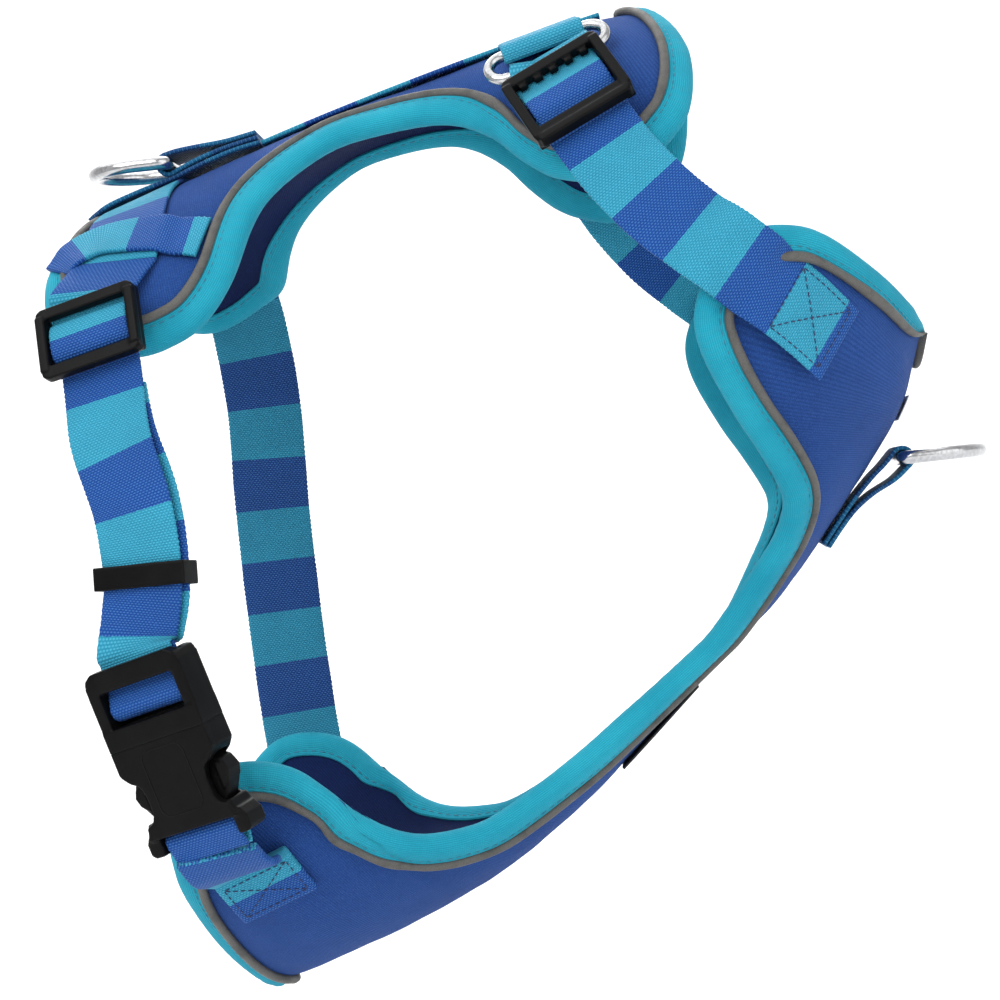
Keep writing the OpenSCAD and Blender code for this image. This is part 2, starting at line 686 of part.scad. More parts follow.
module neck_slider(side) { color(plastic) mirror_far(side) on_neck() slider(neck_slider_l, 3.6, 5.4, 5); }
module neck_slider_near() { neck_slider(-1); }
module neck_slider_far() { neck_slider(1); }
module neck_wrap(side) { color(webbing) mirror_far(side) on_neck() slider_wrap(neck_slider_l); }
module neck_slider_wrap_near() { neck_wrap(-1); }
module neck_slider_wrap_far() { neck_wrap(1); }

// ---- small trim --------------------------------------------------------------------------------------

module on_centre(s, width, long, lift, thick) {
  c = row(CENTRE, s);
  d = unit(row(CENTRE, s + 0.1) - row(CENTRE, s - 0.1));
  out = [-d.y, 0, d.x];
  place([c.x, 0, c.y] + out * (skin_top + lift), [0, 1, 0], out) cube([width, long, thick], center = true);
}
module chest_label() { color("white") on_centre(1.25, 14, 12, 1.2, 0.5); }
module breast_patch() { color("#202024") on_centre(5.45, 20, 34, 1.1, 0.9); }

back_core();
back_outer();
back_lining();
back_binding();
back_piping();
chest_core();
chest_outer();
chest_lining();
chest_binding();
chest_piping();
girth_webbing();
girth_strap_near();
girth_return();
girth_strap_far();
girth_end_far();
cross_strap_near();
cross_strap_far();
girth_slider();
girth_slider_wrap();
girth_keeper();
buckle_plug();
buckle_plug_loop();
buckle_arm_front();
buckle_arm_rear();
buckle_socket();
stub_loop();
buckle_stub();
stub_end();
spine_webbing();
back_ring_loop();
back_ring_strand();
back_d_ring();
front_ring_loop();
front_d_ring();
neck_tab_near();
neck_tab_far();
neck_ring_near();
neck_ring_far();
neck_strap_near();
neck_strap_far();
neck_return_near();
neck_return_far();
neck_slider_near();
neck_slider_far();
neck_slider_wrap_near();
neck_slider_wrap_far();
chest_label();
breast_patch();
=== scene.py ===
import bpy
import bmesh
import math
import random
import numpy as np
from mathutils import Matrix, Vector, kdtree


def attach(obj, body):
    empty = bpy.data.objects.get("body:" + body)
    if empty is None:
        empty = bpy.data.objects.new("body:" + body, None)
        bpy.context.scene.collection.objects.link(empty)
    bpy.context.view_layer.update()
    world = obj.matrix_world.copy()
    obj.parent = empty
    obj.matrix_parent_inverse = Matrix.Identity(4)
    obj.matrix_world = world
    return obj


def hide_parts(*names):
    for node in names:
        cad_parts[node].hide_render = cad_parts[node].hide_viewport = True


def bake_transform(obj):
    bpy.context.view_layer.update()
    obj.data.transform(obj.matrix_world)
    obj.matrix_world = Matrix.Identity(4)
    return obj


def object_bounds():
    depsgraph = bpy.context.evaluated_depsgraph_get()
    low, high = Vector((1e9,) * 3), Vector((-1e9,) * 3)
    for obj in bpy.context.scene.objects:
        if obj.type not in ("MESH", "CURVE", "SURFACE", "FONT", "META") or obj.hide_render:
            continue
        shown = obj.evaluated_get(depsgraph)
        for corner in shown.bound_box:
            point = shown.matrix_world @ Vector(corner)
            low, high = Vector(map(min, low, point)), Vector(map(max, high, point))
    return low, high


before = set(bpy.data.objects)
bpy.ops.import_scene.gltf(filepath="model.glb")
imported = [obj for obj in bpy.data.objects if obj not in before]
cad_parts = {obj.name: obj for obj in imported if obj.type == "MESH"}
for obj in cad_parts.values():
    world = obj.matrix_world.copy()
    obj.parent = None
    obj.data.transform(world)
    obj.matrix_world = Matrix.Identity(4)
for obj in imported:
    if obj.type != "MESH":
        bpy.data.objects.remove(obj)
cad_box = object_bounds()
MM = 0.001
random.seed(7)
scene = bpy.context.scene
scene.view_settings.view_transform = "Standard"

# ---- camera: level along the dog's side, rolled as the product hangs

forward = Vector((-0.0492, 0.9986, 0.0179)).normalized()
right = forward.cross(Vector((0.342, 0, 0.9397))).normalized()
above = right.cross(forward)
camera = bpy.data.objects.new("camera", bpy.data.cameras.new("camera"))
scene.collection.objects.link(camera)
camera.data.lens = 95.94
camera.data.clip_end = 20
camera.matrix_world = Matrix.Translation((0.1292, -0.8189, -0.0279)) @ Matrix(
    (right, above, -forward)).transposed().to_4x4()
scene.camera = camera


# ---- curves and surfaces, in millimetres

def unit(v):
    v = np.asarray(v, float)
    return v / np.maximum(np.linalg.norm(v, axis=-1, keepdims=True), 1e-12)


def smooth(a, b, x):
    t = np.clip((np.asarray(x, float) - a) / (b - a), 0, 1)
    return t * t * (3 - 2 * t)


def mix(a, b, t):
    return a + (b - a) * t


def square_to(v, axis):
    return unit(v - axis * np.sum(v * axis, -1, keepdims=True))


def rows(table, k):
    t = np.array(table, float)
    n = len(t) - 1
    k = np.asarray(k, float)
    i = np.clip(np.floor(k).astype(int), 0, n - 1)
    f = (k - i)[..., None]
    a, b, c, d = t[np.maximum(i - 1, 0)], t[i], t[i + 1], t[np.minimum(i + 2, n)]
    return b + 0.5 * f * ((c - a) + f * ((2 * a - 5 * b + 4 * c - d) + f * (3 * (b - c) + d - a)))


def section(c, e, up, v):
    side = np.where(v < 0, -1.0, 1.0)
    away = np.hypot(c[..., 0] - e[..., 0], c[..., 2] - e[..., 2])
    span = np.minimum(np.radians(80), 2 * np.arctan2(away, e[..., 1]))
    turn = span * np.abs(v)
    f = (1 - np.cos(turn)) / (1 - np.cos(span))
    g = np.sin(turn) / np.sin(span)
    x, z = mix(c[..., 0], e[..., 0], f), mix(c[..., 2], e[..., 2], f)
    p = np.stack([x, side * e[..., 1] * g, z], -1)
    n = up * np.cos(turn)[..., None]
    n[..., 1] += side * np.sin(turn)
    return p, unit(n)


BACK = [
    [0, -1, 3, 107], [0.5, -7.5, 24, 98.5], [2, -12, 43, 88], [4, -11.5, 56, 76.5],
    [8, -3.5, 62, 68], [16, 9, 63, 61], [24, 20, 61, 61], [32, 29, 58, 64],
    [42, 39.5, 52, 73.5], [58, 54, 40, 93], [78, 76, 31, 103], [95, 94, 26, 103.5],
    [112, 114, 26, 99], [122, 126.5, 32, 88], [128, 132.5, 39, 78], [134, 138.5, 46, 70],
    [140, 145, 52, 65.5], [148, 154, 57, 61.5], [156, 164, 59, 62.5], [163, 170.5, 58, 66],
    [168, 179.5, 53, 73], [174, 185.5, 38, 88], [178, 184.5, 20, 101], [180, 181, 5, 109.5]]
CENTRE = [
    [224.5, -8.5], [214, -23.5], [201, -35.7], [175.2, -55.6], [155.8, -69],
    [134, -79], [84, -105], [49.5, -117.6], [15, -123.6], [-26, -127.5]]
CHEST = [
    [0, 224, 5, -10], [0.1, 221, 29, -1], [0.2, 215.5, 44, 8], [0.35, 207.5, 55.5, 18],
    [0.5, 200, 63, 26], [0.65, 193, 66.5, 29.5], [0.8, 185, 70, 31], [0.95, 174, 72, 27.5],
    [1.1, 163.5, 72, 17], [1.3, 161, 70.5, 5], [1.7, 164, 63, -14], [2, 167, 58, -25],
    [2.3, 169.5, 52.5, -36], [2.6, 169.8, 47, -43.5], [2.9, 166, 41, -50.5],
    [3.3, 159, 35.5, -57.5], [4.3, 137, 26.5, -74], [4.7, 126, 24.5, -79.5],
    [5.4, 102, 24.5, -89], [5.8, 84, 27.5, -95.5], [6.3, 60, 36, -102], [6.6, 49, 42, -102.5],
    [6.9, 36, 48.5, -99.5], [7.1, 27, 53, -93.5], [7.25, 21.5, 56, -86.5], [7.4, 15, 60, -75],
    [7.6, 8.5, 62.5, -66.5], [7.8, -2.5, 64, -61], [8, -14, 64, -61], [8.2, -28, 59, -71],
    [8.4, -32.5, 50, -82], [8.6, -34, 40, -92], [8.8, -32.5, 22, -110], [9, -28.5, 4, -126]]


def back(k, v):
    k, v = np.broadcast_arrays(np.asarray(k, float), np.asarray(v, float))
    r = rows(BACK, k)
    x = r[..., 0]
    slip = np.where(v > 0, (1 - smooth(28, 50, x)) * smooth(6, 50, r[..., 2]), 0)
    e = np.stack([r[..., 1], r[..., 2], r[..., 3]], -1) + slip[..., None] * np.array([5, 2, 14.0])
    c = np.stack([x, 0 * x, 112 - 0.00042 * (x - 120) ** 2], -1)
    up = unit(np.stack([0.00084 * (x - 120), 0 * x, 1 + 0 * x], -1))
    return section(c, e, up, v)


def chest(k, v):
    k, v = np.broadcast_arrays(np.asarray(k, float), np.asarray(v, float))
    r = rows(CHEST, k)
    s = r[..., 0]
    c2 = rows(CENTRE, s)
    step = rows(CENTRE, np.minimum(9, s + 0.05)) - rows(CENTRE, np.maximum(0, s - 0.05))
    roll = np.where(v > 0, mix(-4.5 * smooth(2.9, 4.3, s), -3, smooth(6, 7, s)), 0)
    e = np.stack([r[..., 1], r[..., 2], r[..., 3] + roll], -1)
    c = np.stack([c2[..., 0], 0 * s, c2[..., 1]], -1)
    up = unit(np.stack([-step[..., 1], 0 * s, step[..., 0]], -1))
    return section(c, e, up, v)


BACK_END = len(BACK) - 1
CHEST_END = len(CHEST) - 1


class Surface:
    """A panel's middle surface as a dense grid, with the normals that the grid really has."""

    def __init__(self, fn, end, count):
        self.fn, self.end, self.count = fn, end, count
        k = np.linspace(0, end, count)
        v = np.sin(np.linspace(-1, 1, 65) * math.pi / 2 * 0.86) / math.sin(math.pi / 2 * 0.86)
        self.p, n = fn(*np.meshgrid(k, v, indexing="ij"))
        m = np.cross(np.gradient(self.p, axis=0), np.gradient(self.p, axis=1))
        m = m * np.sign(np.sum(m * n)) / np.median(np.linalg.norm(m, axis=-1))
        for i in range(3):
            m[1:-1] = (m[:-2] + 2 * m[1:-1] + m[2:]) / 4
            m[:, 1:-1] = (m[:, :-2] + 2 * m[:, 1:-1] + m[:, 2:]) / 4
        self.n = unit(m)
        self.flat_p, self.flat_n = self.p.reshape(-1, 3), self.n.reshape(-1, 3)
        self.tree = kdtree.KDTree(len(self.flat_p))
        for i, q in enumerate(self.flat_p):
            self.tree.insert(q, i)
        self.tree.balance()

    def drop(self, points):
        """Points moved onto the surface, and the normals there."""
        q = np.asarray(points, float)
        out, normals = np.empty_like(q), np.empty_like(q)
        for i, x in enumerate(q):
            hits = self.tree.find_n(x, 6)
            at = [h[1] for h in hits]
            w = np.array([1 / (h[2] ** 2 + 0.3) for h in hits])
            w /= w.sum()
            m = unit(w @ self.flat_n[at])
            out[i] = x - m * (w @ ((x - self.flat_p[at]) @ m))
            normals[i] = m
        return out, normals

    def at(self, k, v):
        k, v = np.broadcast_arrays(np.asarray(k, float), np.asarray(v, float))
        return self.drop(self.fn(k, v)[0])


def along(points, step=None, count=None, closed=False):
    """Evenly spaced points on a polyline of rows of any length; returns rows and distances."""
    p = np.asarray(points, float)
    if closed:
        p = np.vstack([p, p[:1]])
    s = np.concatenate([[0], np.cumsum(np.linalg.norm(np.diff(p[:, :3], axis=0), axis=1))])
    m = count or max(2, int(round(s[-1] / step)) + 1)
    at = np.linspace(0, s[-1], m + (1 if closed else 0))
    if closed:
        at = at[:-1]
    return np.stack([np.interp(at, s, p[:, i]) for i in range(p.shape[1])], 1), at


def curve_through(points, step):
    p = np.asarray(points, float)
    k = np.linspace(0, len(p) - 1, (len(p) - 1) * 24 + 1)
    return along(rows(p, k), step)


def blur(values, sigma, closed):
    r = max(1, int(3 * sigma))
    w = np.exp(-0.5 * (np.arange(-r, r + 1) / sigma) ** 2)
    w /= w.sum()
    v = np.asarray(values, float)
    before, after = (v[-r:], v[:r]) if closed else (v[:1].repeat(r, 0), v[-1:].repeat(r, 0))
    pad = np.concatenate([before, v, after])
    return np.stack([np.convolve(pad[:, i], w, "valid") for i in range(v.shape[1])], 1)


def wave_noise(x, seed, octaves=3):
    rnd = random.Random(seed)
    out = 0
    for o in range(octaves):
        out = out + np.sin(np.asarray(x) * (2 ** o) * (1 + 0.3 * rnd.random())
                           + rnd.random() * 6.28) / (2 ** o)
    return out


# ---- meshes

def make(name, verts, faces, uvs=None, material=None, flat=False):
    mesh = bpy.data.meshes.new(name)
    mesh.from_pydata([tuple(v) for v in np.asarray(verts) * MM], [], faces)
    if uvs is not None:
        layer = mesh.uv_layers.new(name="UVMap")
        uvs = np.asarray(uvs, float)
        index = np.zeros(len(mesh.loops), int)
        mesh.loops.foreach_get("vertex_index", index)
        layer.data.foreach_set("uv", (uvs[index] * MM).astype(np.float32).ravel())
    bm = bmesh.new()
    bm.from_mesh(mesh)
    bmesh.ops.recalc_face_normals(bm, faces=bm.faces)
    bm.to_mesh(mesh)
    bm.free()
    mesh.polygons.foreach_set("use_smooth", [not flat] * len(mesh.polygons))
    piece = bpy.data.objects.new(name, mesh)
    scene.collection.objects.link(piece)
    if material:
        mesh.materials.append(material)
    return piece


def grid_faces(n, m, close_m=False, close_n=False, base=0):
    faces = []
    for i in range(n if close_n else n - 1):
        for j in range(m if close_m else m - 1):
            a = base + i * m + j
            b = base + i * m + (j + 1) % m
            c = base + ((i + 1) % n) * m + (j + 1) % m
            d = base + ((i + 1) % n) * m + j
            faces.append((a, b, c, d))
    return faces


def slab(name, top, under, uv, material):
    """A closed pad between two grids of points."""
    n, m = top.shape[:2]
    verts = np.concatenate([top.reshape(-1, 3), under.reshape(-1, 3)])
    faces = grid_faces(n, m) + [f[::-1] for f in grid_faces(n, m, base=n * m)]
    ring = [i * m for i in range(n)] + [(n - 1) * m + j for j in range(1, m)]
    ring += [i * m + m - 1 for i in range(n - 2, -1, -1)] + list(range(m - 2, 0, -1))
    for a, b in zip(ring, ring[1:] + ring[:1]):
        faces.append((a, b, b + n * m, a + n * m))
    return make(name, verts, faces, np.concatenate([uv.reshape(-1, 2)] * 2), material)


def sweep(name, centres, normals, sides, profile, material, closed=False, s=None):
    """A profile of [sideways, outward] points carried along a path."""
    n, m = len(centres), len(profile)
    q = np.asarray(profile, float)
    pts = centres[:, None] + sides[:, None] * q[None, :, :1] + normals[:, None] * q[None, :, 1:]
    round_ = np.concatenate([[0], np.cumsum(np.linalg.norm(np.diff(q, axis=0), axis=1))])
    s = np.arange(n) if s is None else s
    uv = np.stack(np.broadcast_arrays(np.asarray(s)[:, None], round_[None, :]), -1)
    faces = grid_faces(n, m, close_m=True, close_n=closed)
    if not closed:
        faces += [tuple(range(m)), tuple((n - 1) * m + j for j in range(m))[::-1]]
    return make(name, pts.reshape(-1, 3), faces, uv.reshape(-1, 2), material)


def frames(p, n, closed=False):
    if closed:
        t = unit(np.roll(p, -1, 0) - np.roll(p, 1, 0))
    else:
        t = unit(np.gradient(p, axis=0))
    n = square_to(n, t)
    return t, n, np.cross(t, n)


def web(name, p, n, width=25.0, thick=1.4, start=0.0, step=0.8, material=None, sides=None):
    """Woven webbing: even thickness, rounded selvedges that scallop at every other pick."""
    both, s = along(np.hstack([p, n] if sides is None else [p, n, sides]), step)
    p, n = both[:, :3], unit(both[:, 3:6])
    t, n, a = frames(p, n)
    if sides is not None:
        a = square_to(both[:, 6:], n)
    half = width / 2
    across = np.array([-1, -0.985, -0.93, -0.8, -0.6, -0.4, -0.2, 0, 0.2, 0.4, 0.6, 0.8, 0.93, 0.985, 1])
    high = thick / 2 * np.array([0.35, 0.8, 1, 1, 1, 1, 1, 1, 1, 1, 1, 1, 1, 0.8, 0.35])
    edge = np.zeros((len(s), 2))
    edge[:, 0] = 0.14 * np.sin(2 * np.pi * s / 1.7) + 0.05 * wave_noise(s / 6, 3)
    edge[:, 1] = 0.14 * np.sin(2 * np.pi * s / 1.7 + 1.9) + 0.05 * wave_noise(s / 7, 5)
    left = across[None, :] < 0
    x = across[None, :] * half + np.where(left, -1, 1) * np.abs(across[None, :]) ** 8 * np.where(
        left, edge[:, :1], edge[:, 1:])
    top = p[:, None] + a[:, None] * x[..., None] + n[:, None] * high[None, :, None]
    low = p[:, None] + a[:, None] * x[..., None] - n[:, None] * high[None, :, None]
    m = len(across)
    pts = np.concatenate([top, low[:, ::-1]], 1)
    uv_x = np.concatenate([np.broadcast_to(x, x.shape), x[:, ::-1]], 1)
    uv = np.stack([np.broadcast_to((s + start)[:, None], uv_x.shape), uv_x + 50], -1)
    cols = 2 * m
    faces = grid_faces(len(s), cols, close_m=True)
    faces += [tuple(range(cols)), tuple((len(s) - 1) * cols + j for j in range(cols))[::-1]]
    return make(name, pts.reshape(-1, 3), faces, uv.reshape(-1, 2), material)


def in_plane(points, step=0.8):
    """Webbing seen edge-on as 2D points [x, z]: centres in 3D and their normals."""
    p, s = curve_through(points, step)
    t = unit(np.gradient(p, axis=0))
    zero = np.zeros(len(p))
    return np.stack([p[:, 0], zero, p[:, 1]], 1), np.stack([-t[:, 1], zero, t[:, 0]], 1)


def placed(piece, o, x, z):
    y = np.cross(z, x)
    m = Matrix([(x[i], y[i], z[i], o[i] * MM) for i in range(3)] + [(0, 0, 0, 1)])
    piece.data.transform(m)
    if m.determinant() < 0:
        piece.data.flip_normals()
    return piece


def mirrored(piece):
    piece.data.transform(Matrix.Scale(-1, 4, (0, 1, 0)))
    piece.data.flip_normals()
    return piece


def joined(name, pieces):
    """One object from several; the first one's material comes first."""
    materials = []
    bm = bmesh.new()
    for p in pieces:
        start = len(bm.faces)
        offset = {}
        for i, mat in enumerate(p.data.materials):
            if mat not in materials:
                materials.append(mat)
            offset[i] = materials.index(mat)
        bm.from_mesh(p.data)
        bm.faces.ensure_lookup_table()
        for f in bm.faces[start:]:
            f.material_index = offset.get(f.material_index, 0)
    mesh = bpy.data.meshes.new(name)
    bm.to_mesh(mesh)
    bm.free()
    for mat in materials:
        mesh.materials.append(mat)
    for p in pieces:
        bpy.data.objects.remove(p)
    piece = bpy.data.objects.new(name, mesh)
    scene.collection.objects.link(piece)
    return piece


def block(x0, y0, z0, x1, y1, z1):
    v = [(x, y, z) for x in (x0, x1) for y in (y0, y1) for z in (z0, z1)]
    f = [(0, 1, 3, 2), (4, 6, 7, 5), (0, 4, 5, 1), (2, 3, 7, 6), (0, 2, 6, 4), (1, 5, 7, 3)]
    return v, f


def prism(outline, y0, y1, axis="y"):
    n = len(outline)
    put = {"y": lambda p, d: (p[0], d, p[1]), "z": lambda p, d: (p[0], p[1], d),
           "x": lambda p, d: (d, p[0], p[1])}[axis]
    v = [put(p, y0) for p in outline] + [put(p, y1) for p in outline]
    f = [tuple(range(n)), tuple(range(2 * n - 1, n - 1, -1))]
    f += [(i, (i + 1) % n, (i + 1) % n + n, i + n) for i in range(n)]
    return v, f


def rod(axis, centre, radius, half, sides=20):
    a = [2 * math.pi * i / sides for i in range(sides)]
    outline = [(radius * math.cos(t), radius * math.sin(t)) for t in a]
    v, f = prism(outline, -half, half, axis)
    return [tuple(np.array(p) + centre) for p in v], f


def rounded(w, h, r, steps=6):
    out = []
    for cx, cy, a0 in ((1, 1, 0), (-1, 1, 90), (-1, -1, 180), (1, -1, 270)):
        for i in range(steps + 1):
            a = math.radians(a0 + 90 * i / steps)
            out.append((cx * (w / 2 - r) + r * math.cos(a), cy * (h / 2 - r) + r * math.sin(a)))
    return out


def moulded(name, parts, material, voxel=0.36, soften=5, keep=0.4):
    """Overlapping solids fused into one moulding with soft edges."""
    verts, faces = [], []
    for v, f in parts:
        faces += [tuple(i + len(verts) for i in q) for q in f]
        verts += list(v)
    piece = make(name, np.array(verts, float), faces, None, material)
    bm = bmesh.new()
    bm.from_mesh(piece.data)
    bmesh.ops.recalc_face_normals(bm, faces=bm.faces)
    bm.to_mesh(piece.data)
    bm.free()
    mod = piece.modifiers.new("fuse", "REMESH")
    mod.mode = "VOXEL"
    mod.voxel_size = voxel * MM
    soft = piece.modifiers.new("soften", "SMOOTH")
    soft.factor = 0.5
    soft.iterations = soften
    thin = piece.modifiers.new("thin", "DECIMATE")
    thin.ratio = keep
    graph = bpy.context.evaluated_depsgraph_get()
    mesh = bpy.data.meshes.new_from_object(piece.evaluated_get(graph))
    piece.modifiers.clear()
    piece.data = mesh
    mesh.polygons.foreach_set("use_smooth", [True] * len(mesh.polygons))
    if not mesh.materials:
        mesh.materials.append(material)
    return piece


def wire(name, path, radius, plane_normal, material, sides=20):
    p, s = along(path, 0.7, closed=True)
    p = blur(p, 1.0, True)
    n = np.repeat(np.array([plane_normal], float), len(p), 0)
    _, n, a = frames(p, n, True)
    turns = [2 * math.pi * i / sides for i in range(sides)]
    ring = [(radius * math.cos(t), radius * math.sin(t)) for t in turns]
    return sweep(name, p, n, a, ring, material, closed=True, s=s)


def stitches(name, paths, material, length=2.3, pitch=3.0, radius=0.22):
    """Thread along paths of [point, outward normal] rows: one low bead for each stitch."""
    verts, faces, uvs = [], [], []
    ring = [(math.cos(a), math.sin(a)) for a in np.linspace(0, 2 * math.pi, 7)[:-1]]
    prof = [(-0.5, 0.25, -0.9), (-0.36, 0.85, -0.1), (0, 1, 0.25), (0.36, 0.85, -0.1), (0.5, 0.25, -0.9)]
    for points, normals in paths:
        both, s = along(np.hstack([points, normals]), pitch)
        p, n = both[:, :3], unit(both[:, 3:])
        n = frames(p, n)[1]
        for i in range(len(p) - 1):
            c = (p[i] + p[i + 1]) / 2
            d = unit(p[i + 1] - p[i])
            up = square_to(n[i], d)
            side = np.cross(d, up)
            base = len(verts)
            for along_, r_, lift in prof:
                for cx, cy in ring:
                    verts.append(c + d * length * along_ + (side * cx + up * cy) * radius * r_
                                 + up * radius * lift)
            for q in range(len(prof) - 1):
                for j in range(6):
                    a, b = base + q * 6 + j, base + q * 6 + (j + 1) % 6
                    faces.append((a, b, b + 6, a + 6))
            faces.append(tuple(base + j for j in range(6)))
            faces.append(tuple(base + (len(prof) - 1) * 6 + j for j in range(6))[::-1])
    return make(name, np.array(verts), faces, None, material)


# ---- materials

def srgb(r, g, b):
    linear = [((c / 255 + 0.055) / 1.055) ** 2.4 if c > 10 else c / 3294.6 for c in (r, g, b)]
    return (*linear, 1.0)


class Nodes:
    def __init__(self, name, roughness, **sockets):
        self.mat = bpy.data.materials.new(name)
        self.mat.use_nodes = True
        self.tree = self.mat.node_tree
        self.shader = self.tree.nodes["Principled BSDF"]
        self.shader.inputs["Roughness"].default_value = roughness
        for key, value in sockets.items():
            self.shader.inputs[key.replace("_", " ")].default_value = value

    def new(self, kind, **inputs):
        node = self.tree.nodes.new(kind)
        for key, value in inputs.items():
            self.put(node, key.replace("_", " "), value)
        return node

    def put(self, node, key, value):
        socket = node.inputs[key]
        if hasattr(value, "is_output"):
            self.tree.links.new(value, socket)
        else:
            socket.default_value = value

    def math(self, op, a, b=0.0, c=0.0, clamp=False):
        node = self.tree.nodes.new("ShaderNodeMath")
        node.operation = op
        node.use_clamp = clamp
        for i, value in enumerate((a, b, c)):
            self.put(node, i, value)
        return node.outputs[0]

    def uv(self):
        out = self.tree.nodes.new("ShaderNodeUVMap")
        out.uv_map = "UVMap"
        split = self.new("ShaderNodeSeparateXYZ", Vector=out.outputs[0])
        return split.outputs[0], split.outputs[1]

    def spot(self):
        return self.tree.nodes.new("ShaderNodeTexCoord").outputs["Object"]

    def noise(self, scale, detail=3.0, vector=None, rough=0.55):
        node = self.new("ShaderNodeTexNoise", Scale=scale, Detail=detail, Roughness=rough)
        self.tree.links.new(vector or self.spot(), node.inputs["Vector"])
        return node.outputs["Fac"]

    def range(self, value, a, b, c, d):
        node = self.new("ShaderNodeMapRange")
        for i, v in enumerate((value, a, b, c, d)):
            self.put(node, i, v)
        return node.outputs[0]

    def mix(self, fac, a, b, kind="MIX"):
        node = self.tree.nodes.new("ShaderNodeMix")
        node.data_type = "RGBA"
        node.blend_type = kind
        self.put(node, 0, fac)
        self.put(node, 6, a)
        self.put(node, 7, b)
        return node.outputs[2]

    def bump(self, height, distance, strength=1.0, normal=None):
        node = self.new("ShaderNodeBump", Height=height, Distance=distance, Strength=strength)
        if normal:
            self.tree.links.new(normal, node.inputs["Normal"])
        return node.outputs[0]

    def finish(self, colour, normal=None, rough=None):
        self.put(self.shader, "Base Color", colour)
        if normal:
            self.tree.links.new(normal, self.shader.inputs["Normal"])
        if rough is not None:
            self.put(self.shader, "Roughness", rough)
        return self.mat


def dots(g, along_u, across_v, row, col, a=0.42, b=0.36):
    """Staggered raised picks of a weave, 0 to 1."""
    y = g.math("DIVIDE", along_u, row)
    r = g.math("FLOOR", y)
    shift = g.math("MULTIPLY", g.math("MODULO", g.math("ADD", r, 4000.0), 2.0), 0.5)
    x = g.math("ADD", g.math("DIVIDE", across_v, col), shift)
    fx = g.math("DIVIDE", g.math("SUBTRACT", g.math("FRACT", x), 0.5), a)
    fy = g.math("DIVIDE", g.math("SUBTRACT", g.math("FRACT", y), 0.5), b)
    d = g.math("ADD", g.math("MULTIPLY", fx, fx), g.math("MULTIPLY", fy, fy))
    return g.math("SUBTRACT", 1.0, d, clamp=True)


STRIPE = 0.0174


def webbing_material(name, turquoise, blue):
    g = Nodes(name, 0.62, Sheen_Weight=0.03, Specular_IOR_Level=0.22)
    u, v = g.uv()
    ragged = g.math("MULTIPLY", g.math("SUBTRACT", g.noise(1400, 1), 0.5), 0.0006)
    y = g.math("DIVIDE", g.math("ADD", g.math("ADD", u, ragged), 8 * STRIPE), STRIPE)
    which = g.math("GREATER_THAN", g.math("MODULO", y, 2.0), 1.0)
    ground = g.mix(which, turquoise, blue)
    pick = dots(g, u, v, 0.00068, 0.00112, 0.5, 0.44)
    # painted shade in the weave: the striped ground darkened towards deep blue in the gaps between the
    # raised picks
    painted_shade_colour = g.mix(0.62, ground, srgb(4, 30, 66))
    shade = g.mix(g.range(pick, 0.0, 0.75, 0.46, 0.0), ground, painted_shade_colour)
    # painted highlight: the tops of the picks lightened towards pale cyan
    lit = g.mix(g.math("MULTIPLY", g.math("POWER", pick, 2.0), 0.16), shade, srgb(140, 214, 238))
    cloud = g.mix(g.range(g.noise(60, 4), 0.35, 0.7, 0.0, 0.14), lit, srgb(8, 44, 84))
    fuzz = g.noise(5200, 2)
    height = g.math("ADD", pick, g.math("MULTIPLY", fuzz, 0.4))
    return g.finish(cloud, g.bump(height, 0.00022), g.range(pick, 0, 1, 0.74, 0.5))


def jersey(name, light, dark, speckle, ribs=0.00062, depth=0.00012):
    g = Nodes(name, 0.9, Sheen_Weight=0.03, Sheen_Roughness=0.5, Specular_IOR_Level=0.1)
    u, v = g.uv()
    knit = dots(g, u, v, ribs, ribs * 0.9, 0.5, 0.44)
    grain = g.noise(2600, 2)
    cloud = g.noise(22, 4)
    base = g.mix(g.range(cloud, 0.3, 0.7, 0.0, 1.0), light, dark)
    heather = g.mix(g.range(grain, 0.42, 0.72, 0.0, 0.5), base, speckle)
    # painted shade between the knit loops: the speckled ground darkened where the loops dip
    painted_shade_colour = tuple(0.35 * c for c in dark[:3]) + (1,)
    shade = g.mix(g.range(knit, 0, 0.7, 0.34, 0.0), heather, painted_shade_colour)
    height = g.math("ADD", knit, g.math("MULTIPLY", grain, 0.6))
    soft = g.bump(g.noise(130, 3), 0.0006, 0.5)
    return g.finish(shade, g.bump(height, depth, 1.0, soft), g.range(grain, 0.3, 0.7, 0.78, 0.95))


def ribbed(name, light, dark):
    """Stretch binding: fine ribs across its length."""
    g = Nodes(name, 0.85, Sheen_Weight=0.03, Sheen_Roughness=0.45, Specular_IOR_Level=0.12)
    u, v = g.uv()
    rib = g.math("ABSOLUTE", g.math("SINE", g.math("MULTIPLY", v, math.pi / 0.00062)))
    loop = g.math("ABSOLUTE", g.math("SINE", g.math("MULTIPLY", u, math.pi / 0.0007)))
    grain = g.noise(3200, 2)
    cloud = g.noise(40, 3)
    base = g.mix(g.range(cloud, 0.3, 0.7, 0, 1), light, dark)
    weave = g.math("MULTIPLY", rib, g.math("ADD", 0.55, g.math("MULTIPLY", loop, 0.45)))
    # painted shade between the ribs: the ground darkened in the grooves of the weave
    painted_shade_colour = tuple(0.4 * c for c in dark[:3]) + (1,)
    shade = g.mix(g.range(weave, 0, 0.8, 0.42, 0), base, painted_shade_colour)
    height = g.math("ADD", weave, g.math("MULTIPLY", grain, 0.5))
    crease = g.bump(g.noise(95, 3), 0.0007, 0.5)
    return g.finish(shade, g.bump(height, 0.00014, 1.0, crease), g.range(grain, 0.3, 0.7, 0.7, 0.9))


